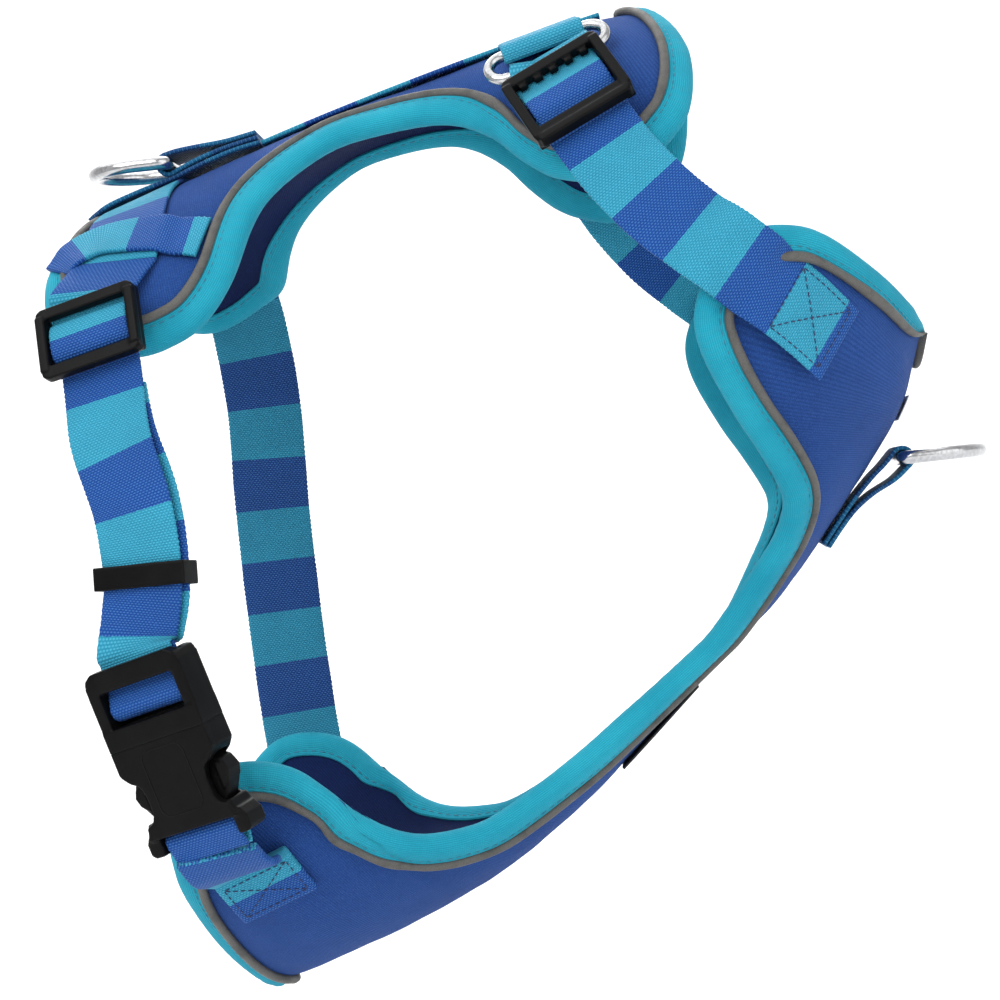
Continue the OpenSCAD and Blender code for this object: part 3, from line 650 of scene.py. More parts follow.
def plastic(name, rough=0.38):
    g = Nodes(name, rough, Specular_IOR_Level=0.1)
    grain = g.noise(3800, 2)
    wear = g.noise(90, 4)
    tone = g.mix(g.range(wear, 0.4, 0.75, 0, 1), srgb(6, 6, 7), srgb(11, 11, 12))
    gloss = g.range(wear, 0.3, 0.7, rough - 0.06, rough + 0.12)
    return g.finish(tone, g.bump(grain, 0.00004, 0.7), gloss)


def chrome(name):
    g = Nodes(name, 0.2, Metallic=1.0)
    scratch = g.noise(900, 4)
    tone = g.mix(g.range(scratch, 0.35, 0.7, 0, 1), srgb(196, 197, 199), srgb(168, 168, 170))
    polish = g.range(g.noise(160, 4), 0.3, 0.7, 0.15, 0.26)
    return g.finish(tone, g.bump(scratch, 0.000004, 0.4), polish)


def trim_tape(name):
    g = Nodes(name, 0.62, Specular_IOR_Level=0.4)
    grain = g.noise(5200, 2)
    scuff = g.noise(170, 4)
    tone = g.mix(g.range(grain, 0.35, 0.7, 0, 1), srgb(96, 95, 92), srgb(66, 66, 64))
    worn = g.mix(g.range(scuff, 0.5, 0.75, 0, 0.6), tone, srgb(48, 50, 52))
    relief = g.bump(grain, 0.00007, 1.0, g.bump(scuff, 0.0004, 0.6))
    return g.finish(worn, relief, g.range(scuff, 0.3, 0.7, 0.5, 0.72))


def thread(name, tone, dark):
    g = Nodes(name, 0.6, Sheen_Weight=0.1)
    ply = g.noise(4200, 2)
    return g.finish(g.mix(g.range(ply, 0.3, 0.7, 0, 1), tone, dark), g.bump(ply, 0.00008))


def plain_tape(name, tone, dark, rough):
    g = Nodes(name, rough)
    grain = g.noise(3600, 3)
    return g.finish(g.mix(g.range(grain, 0.35, 0.7, 0, 1), tone, dark), g.bump(grain, 0.00008))


turquoise = srgb(44, 158, 190)
blue = srgb(6, 72, 158)
m_outer = jersey("outer_jersey", srgb(36, 74, 144), srgb(28, 60, 124), srgb(60, 102, 168))
m_lining = jersey("lining_jersey", srgb(18, 36, 82), srgb(10, 22, 58), srgb(28, 50, 104))
m_binding = ribbed("turquoise_binding", srgb(42, 164, 188), srgb(28, 144, 170))
m_piping = trim_tape("grey_piping")
m_web = webbing_material("striped_webbing", turquoise, blue)
# painted shade: a darker copy of the striped webbing, for the far girth strap on the body's shaded side
m_web_painted_shade = webbing_material("striped_webbing_painted_shade", srgb(32, 136, 168), srgb(5, 58, 132))
m_web_dark = webbing_material("plain_webbing", srgb(20, 104, 150), srgb(14, 72, 128))
m_plastic = plastic("black_plastic")
m_chrome = chrome("ring_metal")
m_navy = thread("navy_thread", srgb(16, 38, 92), srgb(10, 26, 66))
m_teal = thread("teal_thread", srgb(30, 132, 156), srgb(16, 96, 118))
m_label = plain_tape("white_tape", srgb(238, 238, 236), srgb(216, 216, 214), 0.7)
m_patch = plain_tape("black_rubber", srgb(24, 24, 26), srgb(14, 14, 15), 0.55)

FIXED = "harness"


def keep(piece, body, slot, *nodes):
    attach(piece, body)
    if nodes:
        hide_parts(*nodes)
    return piece


def strap(name, node, path, normals, **how):
    how.setdefault("material", m_web)
    return keep(web(name, path, normals, **how), FIXED, "webbing", node)


# ---- padded panels

BIND = 6.5
PIPE = 1.35


def edge_loop(surface, spacing=1.4):
    """The panel's edge as one closed, gently rounded loop: points, normals, inward, distances."""
    k = np.linspace(0, surface.end, 900)
    near, _ = surface.fn(k, -1.0 + 0 * k)
    far, _ = surface.fn(k[::-1], 1.0 + 0 * k)
    p, s = along(np.vstack([near, far]), spacing, closed=True)
    p = blur(p, 1.6, True)
    _, n = surface.drop(p)
    n = unit(blur(n, 3.0, True))
    t, n, a = frames(p, n, True)
    return p, n, np.cross(n, t), t, s


def wrap_edge(surface, edge, edge_n, inward, profile):
    """Rings of points: a profile of [inward, height] laid on the surface inside the edge."""
    inner = [0.0, 2.2, 4.4, 6.6, 8.8, 11.0]
    layers = [surface.drop(edge + inward * a) for a in inner]
    base = np.stack([edge + inward * 0.0] + [q for q, _ in layers[1:]])
    norm = np.stack([edge_n] + [unit(blur(m, 1.2, True)) for _, m in layers[1:]])
    rings, normals = [], []
    for a, h in profile:
        if a <= 0:
            rings.append(edge + inward * a + edge_n * h)
            normals.append(edge_n)
            continue
        i = min(len(inner) - 2, int(a / 2.2))
        f = a / 2.2 - i
        m = unit(mix(norm[i], norm[i + 1], f))
        rings.append(mix(base[i], base[i + 1], f) + m * h)
        normals.append(m)
    return np.stack(rings, 1), np.stack(normals, 1)


def tube_mesh(name, pts, s, material):
    """A closed band from rings of points, one ring for each station."""
    n, m = pts.shape[:2]
    first = pts[:, :1]
    round_ = np.cumsum(np.linalg.norm(np.diff(np.concatenate([first, pts], 1), axis=1), axis=2), axis=1)
    uv = np.stack(np.broadcast_arrays(s[:, None], round_.mean(0)), -1)
    faces = grid_faces(n, m, close_m=True, close_n=True)
    return make(name, pts.reshape(-1, 3), faces, uv.reshape(-1, 2), material)


def panel(prefix, surface, dents=()):
    p, n, count = surface.p, surface.n, surface.count
    edge, edge_n, inward, t, s = edge_loop(surface)
    flat = surface.flat_p
    near_edge = np.full(len(flat), 1e9)
    for i in range(0, len(edge), 60):
        d = np.linalg.norm(flat[:, None] - edge[None, i:i + 60], axis=2).min(1)
        near_edge = np.minimum(near_edge, d)
    near_edge = near_edge.reshape(p.shape[:2])
    x, y, z = p[..., 0], p[..., 1], p[..., 2]
    puff = smooth(BIND + 1.5, BIND + 12, near_edge)
    ripple = 0.16 * wave_noise(x / 7 + y / 11 + z / 13, 11) * smooth(BIND + 1, BIND + 6, near_edge)
    ripple += 0.22 * wave_noise(x / 19 - z / 17 + y / 23, 12) * puff
    top_h = 2.25 + 0.75 * puff + ripple * 0.6
    low_h = -2.25 - 0.55 * puff - ripple * 0.5
    for where, radius, depth in dents:
        d = np.linalg.norm(p[:, :, None] - where[None, None], axis=3).min(2)
        top_h = top_h - depth * (1 - smooth(radius * 0.5, radius, d))
    steps = np.linalg.norm(np.diff(p, axis=1), axis=2)
    arc = np.concatenate([np.zeros((count, 1)), np.cumsum(steps, axis=1)], 1)
    arc -= arc[:, 32:33]
    mid = p[:, 32]
    run = np.concatenate([[0], np.cumsum(np.linalg.norm(np.diff(mid, axis=0), axis=1))])
    uv = np.stack([np.broadcast_to(run[:, None], arc.shape), arc], -1) + 500
    outer = slab(prefix + "_outer_pad", p + n * top_h[..., None], p + n * 0.12, uv, m_outer)
    inner = slab(prefix + "_lining_pad", p - n * 0.12, p + n * low_h[..., None], uv, m_lining)
    keep(outer, FIXED, "outer_fabric", prefix + "_outer", prefix + "_core")
    keep(inner, FIXED, "lining_fabric", prefix + "_lining")

    # binding folded over the edge: its turned hem, the face and the roll at the edge
    b = BIND
    face = [(b, 2.3), (b, 3.05), (b - 0.6, 3.35), (b - 1.6, 3.2), (b - 2.3, 3.45), (b - 3.6, 3.7),
            (1.6, 3.6), (0.3, 3.15)]
    roll = [(-0.8, 2.3), (-1.45, 1.2), (-1.65, 0), (-1.45, -1.2), (-0.8, -2.3)]
    back_face = [(a, -h) for a, h in face[::-1]]
    hidden = [(b - 2, -2.1), (0.6, -2.1), (0.6, 2.1), (b - 2, 2.1)]
    profile = face + roll + back_face + hidden
    turn = np.linalg.norm(np.roll(t, -4, 0) - np.roll(t, 4, 0), axis=1) / 12
    tight = smooth(0.015, 0.06, blur(turn[:, None], 5, True)[:, 0])
    pts, normals = wrap_edge(surface, edge, edge_n, inward, profile)
    q = np.array(profile)
    phase = 2 * np.pi * s[:, None] / 4.6 + 1.4 * wave_noise(s / 9, 21)[:, None] + 0.25 * q[None, :, 0]
    inside = q[None, :, 0]
    lift = (0.04 + 0.2 * tight[:, None]) * np.sin(phase) * smooth(-3, 2, inside) * (
        1 - smooth(b - 1.5, b, inside))
    lift = lift + 0.08 * wave_noise(s / 14, 22)[:, None]
    lift[:, -4:] = 0
    pts = pts + normals * (lift * np.where(q[None, :, 1] < 0, -1, 1))[..., None]
    fold = tube_mesh(prefix + "_edge_binding", pts, s, m_binding)
    keep(fold, FIXED, "edge_binding", prefix + "_binding")

    # piping between the binding and the panel
    turns = np.linspace(0, 2 * math.pi, 13)[:-1]
    tube = [(b + 1.1 + PIPE * math.cos(a), 3.3 + PIPE * math.sin(a)) for a in turns]
    pts, normals = wrap_edge(surface, edge, edge_n, inward, tube)
    pts = pts + normals * (0.08 * tight * np.sin(2 * np.pi * s / 3.4))[:, None, None]
    cord = tube_mesh(prefix + "_piping_cord", pts, s, m_piping)
    keep(cord, FIXED, "reflective_piping", prefix + "_piping")

    # seam stitching on both faces of the binding
    pts, normals = wrap_edge(surface, edge, edge_n, inward, [(b - 1.6, 3.24), (b - 1.6, -3.24)])
    pts, normals = np.vstack([pts, pts[:1]]), np.vstack([normals, normals[:1]])
    loops = [(pts[:, i], normals[:, i] * (1 - 2 * i)) for i in (0, 1)]
    keep(stitches(prefix + "_seam", loops, m_teal), FIXED, "edge_binding")


# ---- webbing routes

SKIN = 2.9 + 0.2
WEB_H = SKIN + 0.7


def girth_k(v):
    return mix(5.5, np.where(v < 0, 4.3, 6.6), np.abs(v))


def turn_normals(r, side):
    a = np.radians(r[:, 3])
    return np.stack([-np.sin(a), side * np.cos(a), 0 * a], 1)


def free_path(table, side, count=160):
    r = rows(table, np.linspace(0, len(table) - 1, count))
    return r[:, :3], turn_normals(r, side)


back_surface = Surface(back, BACK_END, 250)
chest_surface = Surface(chest, CHEST_END, 330)
v_over = np.linspace(-0.66, 0.6, 90)
over_p, over_n = back_surface.at(girth_k(v_over), v_over)
over_n = unit(blur(over_n, 3, False))
over_p = over_p + over_n * WEB_H

buckle_o = np.array([-16, -84, -43.5])
buckle_up = unit([-1.5, -4, 54])
buckle_x = square_to(np.array([math.cos(math.radians(25)), -math.sin(math.radians(25)), 0]), buckle_up)
buckle_y = np.cross(buckle_up, buckle_x)


def on_buckle(x, y, z):
    return buckle_o + buckle_x * x + buckle_y * y + buckle_up * z


girth_run = unit([-2, -5.6, -14])
slider_o = np.array([0, -66.5, 68.6])


def row4(p, turn):
    return [p[0], p[1], p[2], turn]


near_table = [
    row4(over_p[0], 4), row4(slider_o - girth_run * 14, 9), row4(slider_o - girth_run * 10.5, 12),
    row4(slider_o, 14), row4(slider_o + girth_run * 16, 14),
    row4(slider_o + girth_run * 33, 15), [-4.4, -82.6, 18, 18], [-7.8, -84, -0.5, 21],
    [-12.6, -84.8, -12, 23], row4(on_buckle(0, -0.4, 23.7), 25)]
near_p, near_n = free_path(near_table, -1, 260)
plug_dip = np.linspace(0, 1, 8)[1:, None]
near_p = np.vstack([near_p, near_p[-1:] - buckle_up * 3.6 * plug_dip])
near_n = np.vstack([near_n, np.repeat(near_n[-1:], 7, 0)])
near_sides = frames(near_p, near_n)[2]
straight = int(len(near_p) * 2.2 / 9)
blend_in = smooth(0, straight, np.arange(straight))[:, None]
over_side = -frames(over_p, over_n)[2][0]
near_n[:straight] = unit(mix(over_n[0], near_n[straight], blend_in))
near_sides[:straight] = unit(mix(over_side, near_sides[straight], blend_in))
into_buckle = smooth(len(near_p) - 34, len(near_p) - 9, np.arange(len(near_p)))[:, None]
near_sides = unit(mix(near_sides, -buckle_x, into_buckle))
far_table = [
    row4(over_p[-1], 0), [27, 62, 90, 4], [26.5, 70.5, 80, 8], [24.5, 76, 66, 8], [20, 80.5, 44, 8],
    [11, 82.5, 12, 8],
    [2.6, 81.5, -24, 6], [-3, 76.5, -54, 4], [-4.6, 73, -66, 4], [-5.4, 69.5, -75, 4]]
far_p, far_n = free_path(far_table, 1, 260)

far_sides = frames(far_p, far_n)[2]
turn_in = int(len(far_p) * 1.6 / 9)
blend_in = smooth(0, turn_in, np.arange(turn_in))[:, None]
far_n[:turn_in] = unit(mix(over_n[-1], far_n[turn_in], blend_in))
far_sides[:turn_in] = unit(mix(frames(over_p, over_n)[2][-1], far_sides[turn_in], blend_in))

# ---- build: panels

panel("back", back_surface, [(over_p - over_n * WEB_H, 15, 0.35)])
panel("chest", chest_surface)

# ---- build: girth webbing

strap("girth_webbing_top", "girth_webbing", over_p, over_n, start=6)
strap("girth_strap_near_web", "girth_strap_near", near_p, near_n, start=20.7, sides=near_sides)
t_near = np.linspace(0, 1, 120)
ret = np.linspace(4 / 9, 1, 120)
idx = ret * (len(near_p) - 1)
rp = np.stack([np.interp(idx, np.arange(len(near_p)), near_p[:, i]) for i in range(3)], 1)
rn = np.stack([np.interp(idx, np.arange(len(near_p)), near_n[:, i]) for i in range(3)], 1)
rs = np.stack([np.interp(idx, np.arange(len(near_p)), near_sides[:, i]) for i in range(3)], 1)
bow = 1.9 + 1.2 * np.sin(np.pi * np.minimum(1, t_near / 0.55))
bow = mix(bow, 1.9, smooth(0.8, 1, t_near))
_, rn2, ra = frames(rp, rn)
ret_p = rp - rn2 * bow[:, None] + ra * (-1.4 * np.sin(np.pi * t_near))[:, None]
strap("girth_return_web", "girth_return", ret_p, rn, start=11, sides=rs)
# the far girth strap wears the darker copy of the striped webbing: painted shade
strap("girth_strap_far_web", "girth_strap_far", far_p, far_n, start=-1, sides=far_sides,
      material=m_web_painted_shade)
tt = np.linspace(0, 1, 30)
far_end, far_end_n = chest(28.1 + 0.12 * tt, mix(0.86, 0.6, tt))
far_end = far_end + far_end_n * mix(5.6, WEB_H, smooth(0, 0.4, tt))[:, None]
strap("girth_end_far_web", "girth_end_far", far_end, far_end_n, start=3)

cross_line = np.array([
    [37, -50.9, 87.5], [34.7, -50.1, 88.5], [28.1, -48.8, 91.2], [17.4, -46, 94.8],
    [5.9, -43.6, 97.1], [-7, -45.9, 94], [-8.4, -46.6, 93]])
for name, side, ahead in (("near", -1, 0), ("far", 1, 7)):
    line, _ = curve_through(cross_line * [1, -side, 1] + [ahead, 0, 0], 0.8)
    cp, cn = back_surface.drop(line)
    cp, cn = blur(cp, 2, False), unit(blur(cn, 4, False))
    lift = 1.6 * smooth(-7, -2, cp[:, 0] - ahead) * (1 - smooth(24, 29, cp[:, 0] - ahead))
    strap("cross_" + name + "_web", "cross_strap_" + name, cp + cn * (WEB_H + lift)[:, None], cn,
          width=15, start=13)

# ---- build: sliders and keeper

slot_half, rail = 12.9, 2.8


def slider_parts(long, top_bar, low_bar, teeth):
    w = slot_half + rail
    parts = []
    for sx in (-1, 1):
        for a, b, inset, low, high in ((slot_half, w, 1, 0.6, 5.6),
                                       (slot_half + 0.3, w + 0.25, 2.5, 3.6, 6.0)):
            end = long / 2 - inset
            outline = [(sx * a, -end), (sx * b, -end), (sx * b, end), (sx * a, end)]
            parts.append(prism(outline, low, high, "z"))
    out = rounded(2 * w, long, 2.2)
    top = [p for p in out if p[1] > 0]
    low = [p for p in out if p[1] <= 0]
    parts.append(prism(top + [(-w, long / 2 - top_bar), (w, long / 2 - top_bar)], 2.2, 5.5, "z"))
    parts.append(prism(low + [(w, -long / 2 + low_bar), (-w, -long / 2 + low_bar)], 2.2, 5.5, "z"))
    parts.append(block(-slot_half - 1, -2.1, 0.4, slot_half + 1, 2.1, 2.9))
    if low_bar > 5:
        parts.append(block(-w + 1, -long / 2 - 0.3, 2.4, w - 1, -long / 2 + 2.2, 6.1))
    for i in range(teeth):
        x = mix(-10, 10, i / (teeth - 1)) if teeth > 1 else 0
        foot = long / 2 - top_bar
        parts.append(block(x - 1.35, foot - 1.5, 2.3, x + 1.35, foot + 0.4, 4.6))
    return parts


def wrap_route(long):
    low, high, reach = 1.2, 4.1, long / 2 - 1
    pts = [[-reach, low], [4.6 - reach, low + 0.2], [-5.4, mix(low, high, 0.55)],
           [-3, high - 0.1], [0, high + 0.15], [3, high - 0.1],
           [5.4, mix(low, high, 0.55)], [reach - 4.6, low + 0.2], [reach, low]]
    p, s = curve_through(pts, 0.6)
    t = unit(np.gradient(p, axis=0))
    zero = np.zeros(len(p))
    return np.stack([zero, p[:, 0], p[:, 1]], 1), np.stack([zero, -t[:, 1], t[:, 0]], 1)


def out_of(turn, side, run):
    a = math.radians(turn)
    return square_to(np.array([-math.sin(a), side * math.cos(a), 0]), run)


girth_out = out_of(14, -1, girth_run)
girth_x = np.cross(-girth_run, girth_out)
girth_seat = (slider_o + girth_out * 0.7, girth_x, girth_out)
body = placed(moulded("girth_slider_body", slider_parts(22, 3.4, 3.8, 0), m_plastic), *girth_seat)
keep(body, "girth_slider", "black_plastic", "girth_slider")
cover = web("girth_slider_web", *wrap_route(22), start=22.5, material=m_web, step=0.6)
keep(placed(cover, *girth_seat), "girth_slider", "webbing", "girth_slider_wrap")

keeper_run = np.array([-0.26713, -0.0679, -0.96127])
keeper_p = np.array([-7.8, -84, -0.5])
keeper_out = out_of(21, -1, keeper_run)
band = []
for d in (1, -1):
    band.append(block(-14.6, -3.3, d * 3.5 - 0.6, 14.6, 3.3, d * 3.5 + 0.6))
for d in (1, -1):
    band.append(block(d * 14 - 0.65, -3.3, -4.1, d * 14 + 0.65, 3.3, 4.1))
band = moulded("girth_keeper_band", band, m_plastic, 0.3, 4)
placed(band, keeper_p - keeper_out * 1.55, np.cross(-keeper_run, keeper_out), keeper_out)
keep(band, "keeper", "black_plastic", "girth_keeper")

# ---- build: side-release buckle


def on_frame(piece):
    return placed(piece, buckle_o, buckle_x, buckle_up)


plug = []
plug.append(prism([(-16.5, -0.6), (16.5, -0.6), (16.55, 5.6), (-16.55, 5.6)], -6.4, 5))
for d in (1, -1):
    post = [(12.9, 5), (16.55, 5), (16.5, 18.6), (15.7, 21), (12.9, 21.6)]
    plug.append(prism([(d * x, z) for x, z in post], -6.1, 4.8))
top_rail = [(16.4, 16.2), (16.4, 18.6), (15.6, 21), (13.4, 22.4)]
plug.append(prism([(-16.4, 16.2)] + top_rail + [(-x, z) for x, z in top_rail[:0:-1]], -6.0, -1.9))
plug.append(rod("x", (0, -1.2, 10.2), 1.6, 13.6))
plug.append(block(-13.6, 2.5, 4, 13.6, 4.8, 9))
plug.append(block(-12.8, -3.4, -2.6, 12.8, 3.4, 1.5))
plug.append(block(-3.4, -2.3, -24, 3.4, 2.3, 1))
for d in (1, -1):
    plug.append(block(min(d * 8.6, d * 12.4), -2.9, -0.8, max(d * 8.6, d * 12.4), 2.9, 1.5))
plug = moulded("buckle_plug_body", plug, m_plastic, 0.4, 6)
keep(on_frame(plug), FIXED, "black_plastic", "buckle_plug")


def ring_points(cy, cz, r, a0, a1, n):
    turns = [math.radians(mix(a0, a1, i / n)) for i in range(n + 1)]
    return [[cy + r * math.cos(a), cz + r * math.sin(a)] for a in turns]


def ribbon_yz(name, pts, x, start, step, web_step):
    """Webbing drawn as [y, z] points at one x."""
    p, _ = curve_through(pts, step)
    t = unit(np.gradient(p, axis=0))
    col = np.full(len(p), x)
    centres = np.stack([col, p[:, 0], p[:, 1]], 1)
    normals = np.stack([0 * col, -t[:, 1], t[:, 0]], 1)
    return web(name, centres, normals, start=start, step=web_step, material=m_web)


loop_pts = (
    [[-0.45, 20.4], [-0.6, 18.5], [-1.1, 16.2], [-2.5, 13.6]]
    + ring_points(-1.2, 10.2, 2.65, 140, 350, 9) + [[1.35, 13.4], [1.5, 17], [1.5, 20.4]])
loop = ribbon_yz("buckle_plug_web", loop_pts, 0.0, 19, 0.6, 0.6)
keep(on_frame(loop), FIXED, "webbing", "buckle_plug_loop")


def arm_parts(d):
    outline = [
        (8.6, 0.3), (12.4, 0.3), (12.5, -7), (13.1, -10.2), (15.2, -11.4), (16.2, -14.0),
        (15.9, -16.8), (14.4, -19.6), (12.1, -23.2), (10.2, -23.8), (9.3, -19), (9.2, -12)]
    grip = [(12.9, -11.6), (15.4, -12.6), (16.5, -14.8), (15.6, -17.6), (13, -19.6)]
    return [prism([(d * x, z) for x, z in outline], -3, 3),
            prism([(d * x, z) for x, z in grip], -3.6, 3.4)]


for name, d in (("front", 1), ("rear", -1)):
    arm = moulded("buckle_arm_" + name + "_body", arm_parts(d), m_plastic, 0.32, 5)
    keep(on_frame(arm), "arm_" + name, "black_plastic", "buckle_arm_" + name)

sock = []
fy, by = -6.4, 5.0
waist = [
    (16.5, -7.4), (14.6, -9.8), (11.4, -11.8), (10.6, -15), (10.6, -20), (11.8, -22.2),
    (14.4, -23.6), (15.6, -27.4)]
outline = [(-16.4, -0.3), (16.4, -0.3)] + waist + [(-x, z) for x, z in waist[::-1]]
for y0, y1 in ((fy, -3.6), (3.6, by)):
    sock.append(prism(outline, y0, y1))
mouth = [(13.2, -0.3), (16.4, -0.3), (16.5, -7.4), (14.9, -9.4), (13.2, -9.4)]
heel = [(13.2, -22.6), (14.6, -22.6), (15.8, -27.4), (13.2, -27.4)]
ear = [(13.1, -25), (16, -25.6), (17.6, -28), (17.6, -31.5), (16.4, -32.6), (13.1, -32.6)]
for d in (1, -1):
    for half, y0, y1 in ((mouth, fy, by), (heel, fy + 1, by - 1), (ear, fy + 1.4, by - 1.2)):
        sock.append(prism([(d * x, z) for x, z in half], y0, y1))
sock.append(block(-14, fy + 0.4, -27.2, 14, by - 1, -24.8))
sock.append(rod("x", (0, -0.7, -30.2), 1.6, 14))
sock = moulded("buckle_socket_body", sock, m_plastic, 0.4, 6)
edge_line = rounded(14.5, 19.5, 3.0)
line = np.array([(x, fy - 0.02, z - 12.4) for x, z in edge_line])
lp, ls = along(line, 0.5, closed=True)
lt, ln, la = frames(lp, np.repeat([[0, -1, 0]], len(lp), 0), True)
ridge = [(-0.32, -0.25), (-0.16, 0.1), (0.16, 0.1), (0.32, -0.25)]
bead = sweep("socket_outline", lp, ln, la, ridge, m_plastic, True, ls)
sock = joined("buckle_socket_body", [sock, bead])
keep(on_frame(sock), "buckle_socket", "black_plastic", "buckle_socket")

stub_pts = (
    [[-1.5, -36.4], [-2.4, -33.4]] + ring_points(-0.7, -30.2, 2.65, 200, -20, 9)
    + [[1.1, -33.4], [0.1, -36.4]])
loop = ribbon_yz("stub_loop_web", stub_pts, 0.0, 20, 0.6, 0.6)
keep(on_frame(loop), "buckle_socket", "webbing", "stub_loop")


def stub_flush(t):
    p, n = chest_surface.at(mix(28.6, 28.9, t), mix(-0.78, -0.64, t))
    return p + n * mix(4.6, WEB_H + 0.5, smooth(0, 0.4, t))[:, None], unit(blur(n, 2, False))


end_p, end_n = stub_flush(np.linspace(0, 1, 40))
stub_top = on_buckle(0, -0.7, -37.2)
stub_path = rows([
    [*stub_top, -0.2, -0.6, -0.78], [-14, -73.5, -87.5, -0.1, -0.4, -0.9], [*end_p[0], *end_n[0]],
], np.linspace(0, 2, 60))
stub = web("buckle_stub_web", stub_path[:, :3], unit(stub_path[:, 3:]), thick=2.4, start=17.4,
           material=m_web)
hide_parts("buckle_stub")
strap("stub_end_web", "stub_end", end_p, end_n, thick=2.4, start=9.4)
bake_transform(stub)


# ---- build: rings

def d_ring(name, o, x, z):
    r, leg = 15.1, 9.4
    path = [(-r + 2.4, 0), (0, 0), (r - 2.4, 0)]
    path += [(r - 2.4 + 2.4 * math.sin(a), 2.4 - 2.4 * math.cos(a))
             for a in np.linspace(0.2, math.pi / 2, 6)]
    path += [(r * math.cos(a), leg + r * math.sin(a)) for a in np.linspace(0, math.pi, 40)]
    path += [(-r + 2.4 - 2.4 * math.cos(a), 2.4 - 2.4 * math.sin(a))
             for a in np.linspace(0, math.pi / 2 - 0.2, 6)]
    ring = wire(name, [(a, b, 0) for a, b in path], 2.05, (0, 0, 1), m_chrome)
    return placed(ring, o, x, z)


RING_WEB = 23.5
back_bar = np.array([29, 0, 117.8])
front_bar = np.array([207.9, 0, -43])
for tag, bar, side, tilt in (("back", back_bar, 1, 0.242), ("front", front_bar, -1, 0.24)):
    ring = d_ring(tag + "_leash_ring", bar, np.array([0, side, 0]), unit([tilt, 0, 0.97]))
    keep(ring, tag + "_ring", "ring_metal", tag + "_d_ring")

ridge_x = np.linspace(58, 168, 60)
ridge = np.stack([ridge_x, 0 * ridge_x, 112 - 0.00042 * (ridge_x - 120) ** 2], 1)
ridge_n = np.tile([0, 0, 1.0], (60, 1))
strap("spine_web", "spine_webbing", ridge + ridge_n * WEB_H, ridge_n, width=20, start=3)
p, n = in_plane(
    [[57.5, 117.6], [48, 118.3], [39, 119.8], [33, 120.7]]
    + ring_points(back_bar[0], back_bar[2], 3.1, 80, 280, 10)
    + [[35.5, 115.7], [42, 116.3], [49, 116.4], [57.5, 116]])
strap("back_ring_loop_web", "back_ring_loop", p, n, width=RING_WEB, material=m_web_dark)
p, n = in_plane([
    [57.5, 114.3], [50, 114.8], [43, 114.6], [35, 113.9], [28, 113.2], [18, 113], [8, 112.3],
    [3, 110.9], [0.5, 109.9]])
strap("back_ring_strand_web", "back_ring_strand", p, n, width=RING_WEB, material=m_web_dark)

foot, up2, out2 = np.array([176.7, -57.5]), np.array([0.79, 0.61]), np.array([0.61, -0.79])
bar_uv = [float((front_bar[[0, 2]] - foot) @ axis) for axis in (up2, out2)]
loop_uv = (
    [[-1, 1.7], [8, 1.8], [16, 2.1], [24, 3], [29, 4]]
    + ring_points(*bar_uv, 3.1, -75, 110, 10)
    + [[27, 9.2], [20, 6], [13, 4.0], [6, 3.4], [-1, 3.3]])
p, n = in_plane([list(foot + up2 * a + out2 * b) for a, b in loop_uv])
strap("front_ring_loop_web", "front_ring_loop", p, n, width=RING_WEB, material=m_web_dark)

# ---- build: neck straps

neck_a, neck_c = np.array([147.6, -45.2, 99.5]), np.array([152.8, -62.8, 75.5])
neck_run = unit(neck_c - neck_a)
neck_o = mix(neck_a, neck_c, 0.52)
neck_table = [
    *[row4(mix(neck_a, neck_c, t), -2) for t in (0.1, 0.33, 0.67)], row4(neck_c, -2),
    [156.8, -68, 62, -4], [163.5, -72, 47, -8], [171.5, -74.4, 34, -13], [181, -73.4, 20, -19],
    [190, -68.6, 6.5, -24], [197, -62, -6, -28]]
ring_o = np.array([148.5, -41.6, 104.2])
ring_dir = unit([0.12, -0.62, -0.77])
neck_out = out_of(-2, -1, neck_run)
neck_x = np.cross(-neck_run, neck_out)


def tab_at(v, h):
    p, n = back(16.9, v)
    q = p + n * h
    return [q[1], q[2]]


def over_chest(path, nrm):
    """A strap's path raised where it would sink into the chest panel or its edge."""
    q, m = chest_surface.drop(path)
    loop = edge_loop(chest_surface)[0]
    near_edge = np.linalg.norm(path[:, None] - loop[None], axis=2).min(1)
    nearest = chest_surface.flat_p[[chest_surface.tree.find(x)[1] for x in path]]
    held = 1 - smooth(5, 9, np.linalg.norm(q - nearest, axis=1))
    want = mix(5.7, 4.3, smooth(9, 13, near_edge))
    h = np.sum((path - q) * m, axis=1)
    rise = np.where(np.abs(h) < 9, np.maximum(0, want - h), 0) * held
    rise = blur(rise[:, None], 5, False)
    return path + m * rise, unit(mix(nrm, m, smooth(0, 2, rise)))


neck_route, neck_route_n = over_chest(*free_path(neck_table, -1, 240))


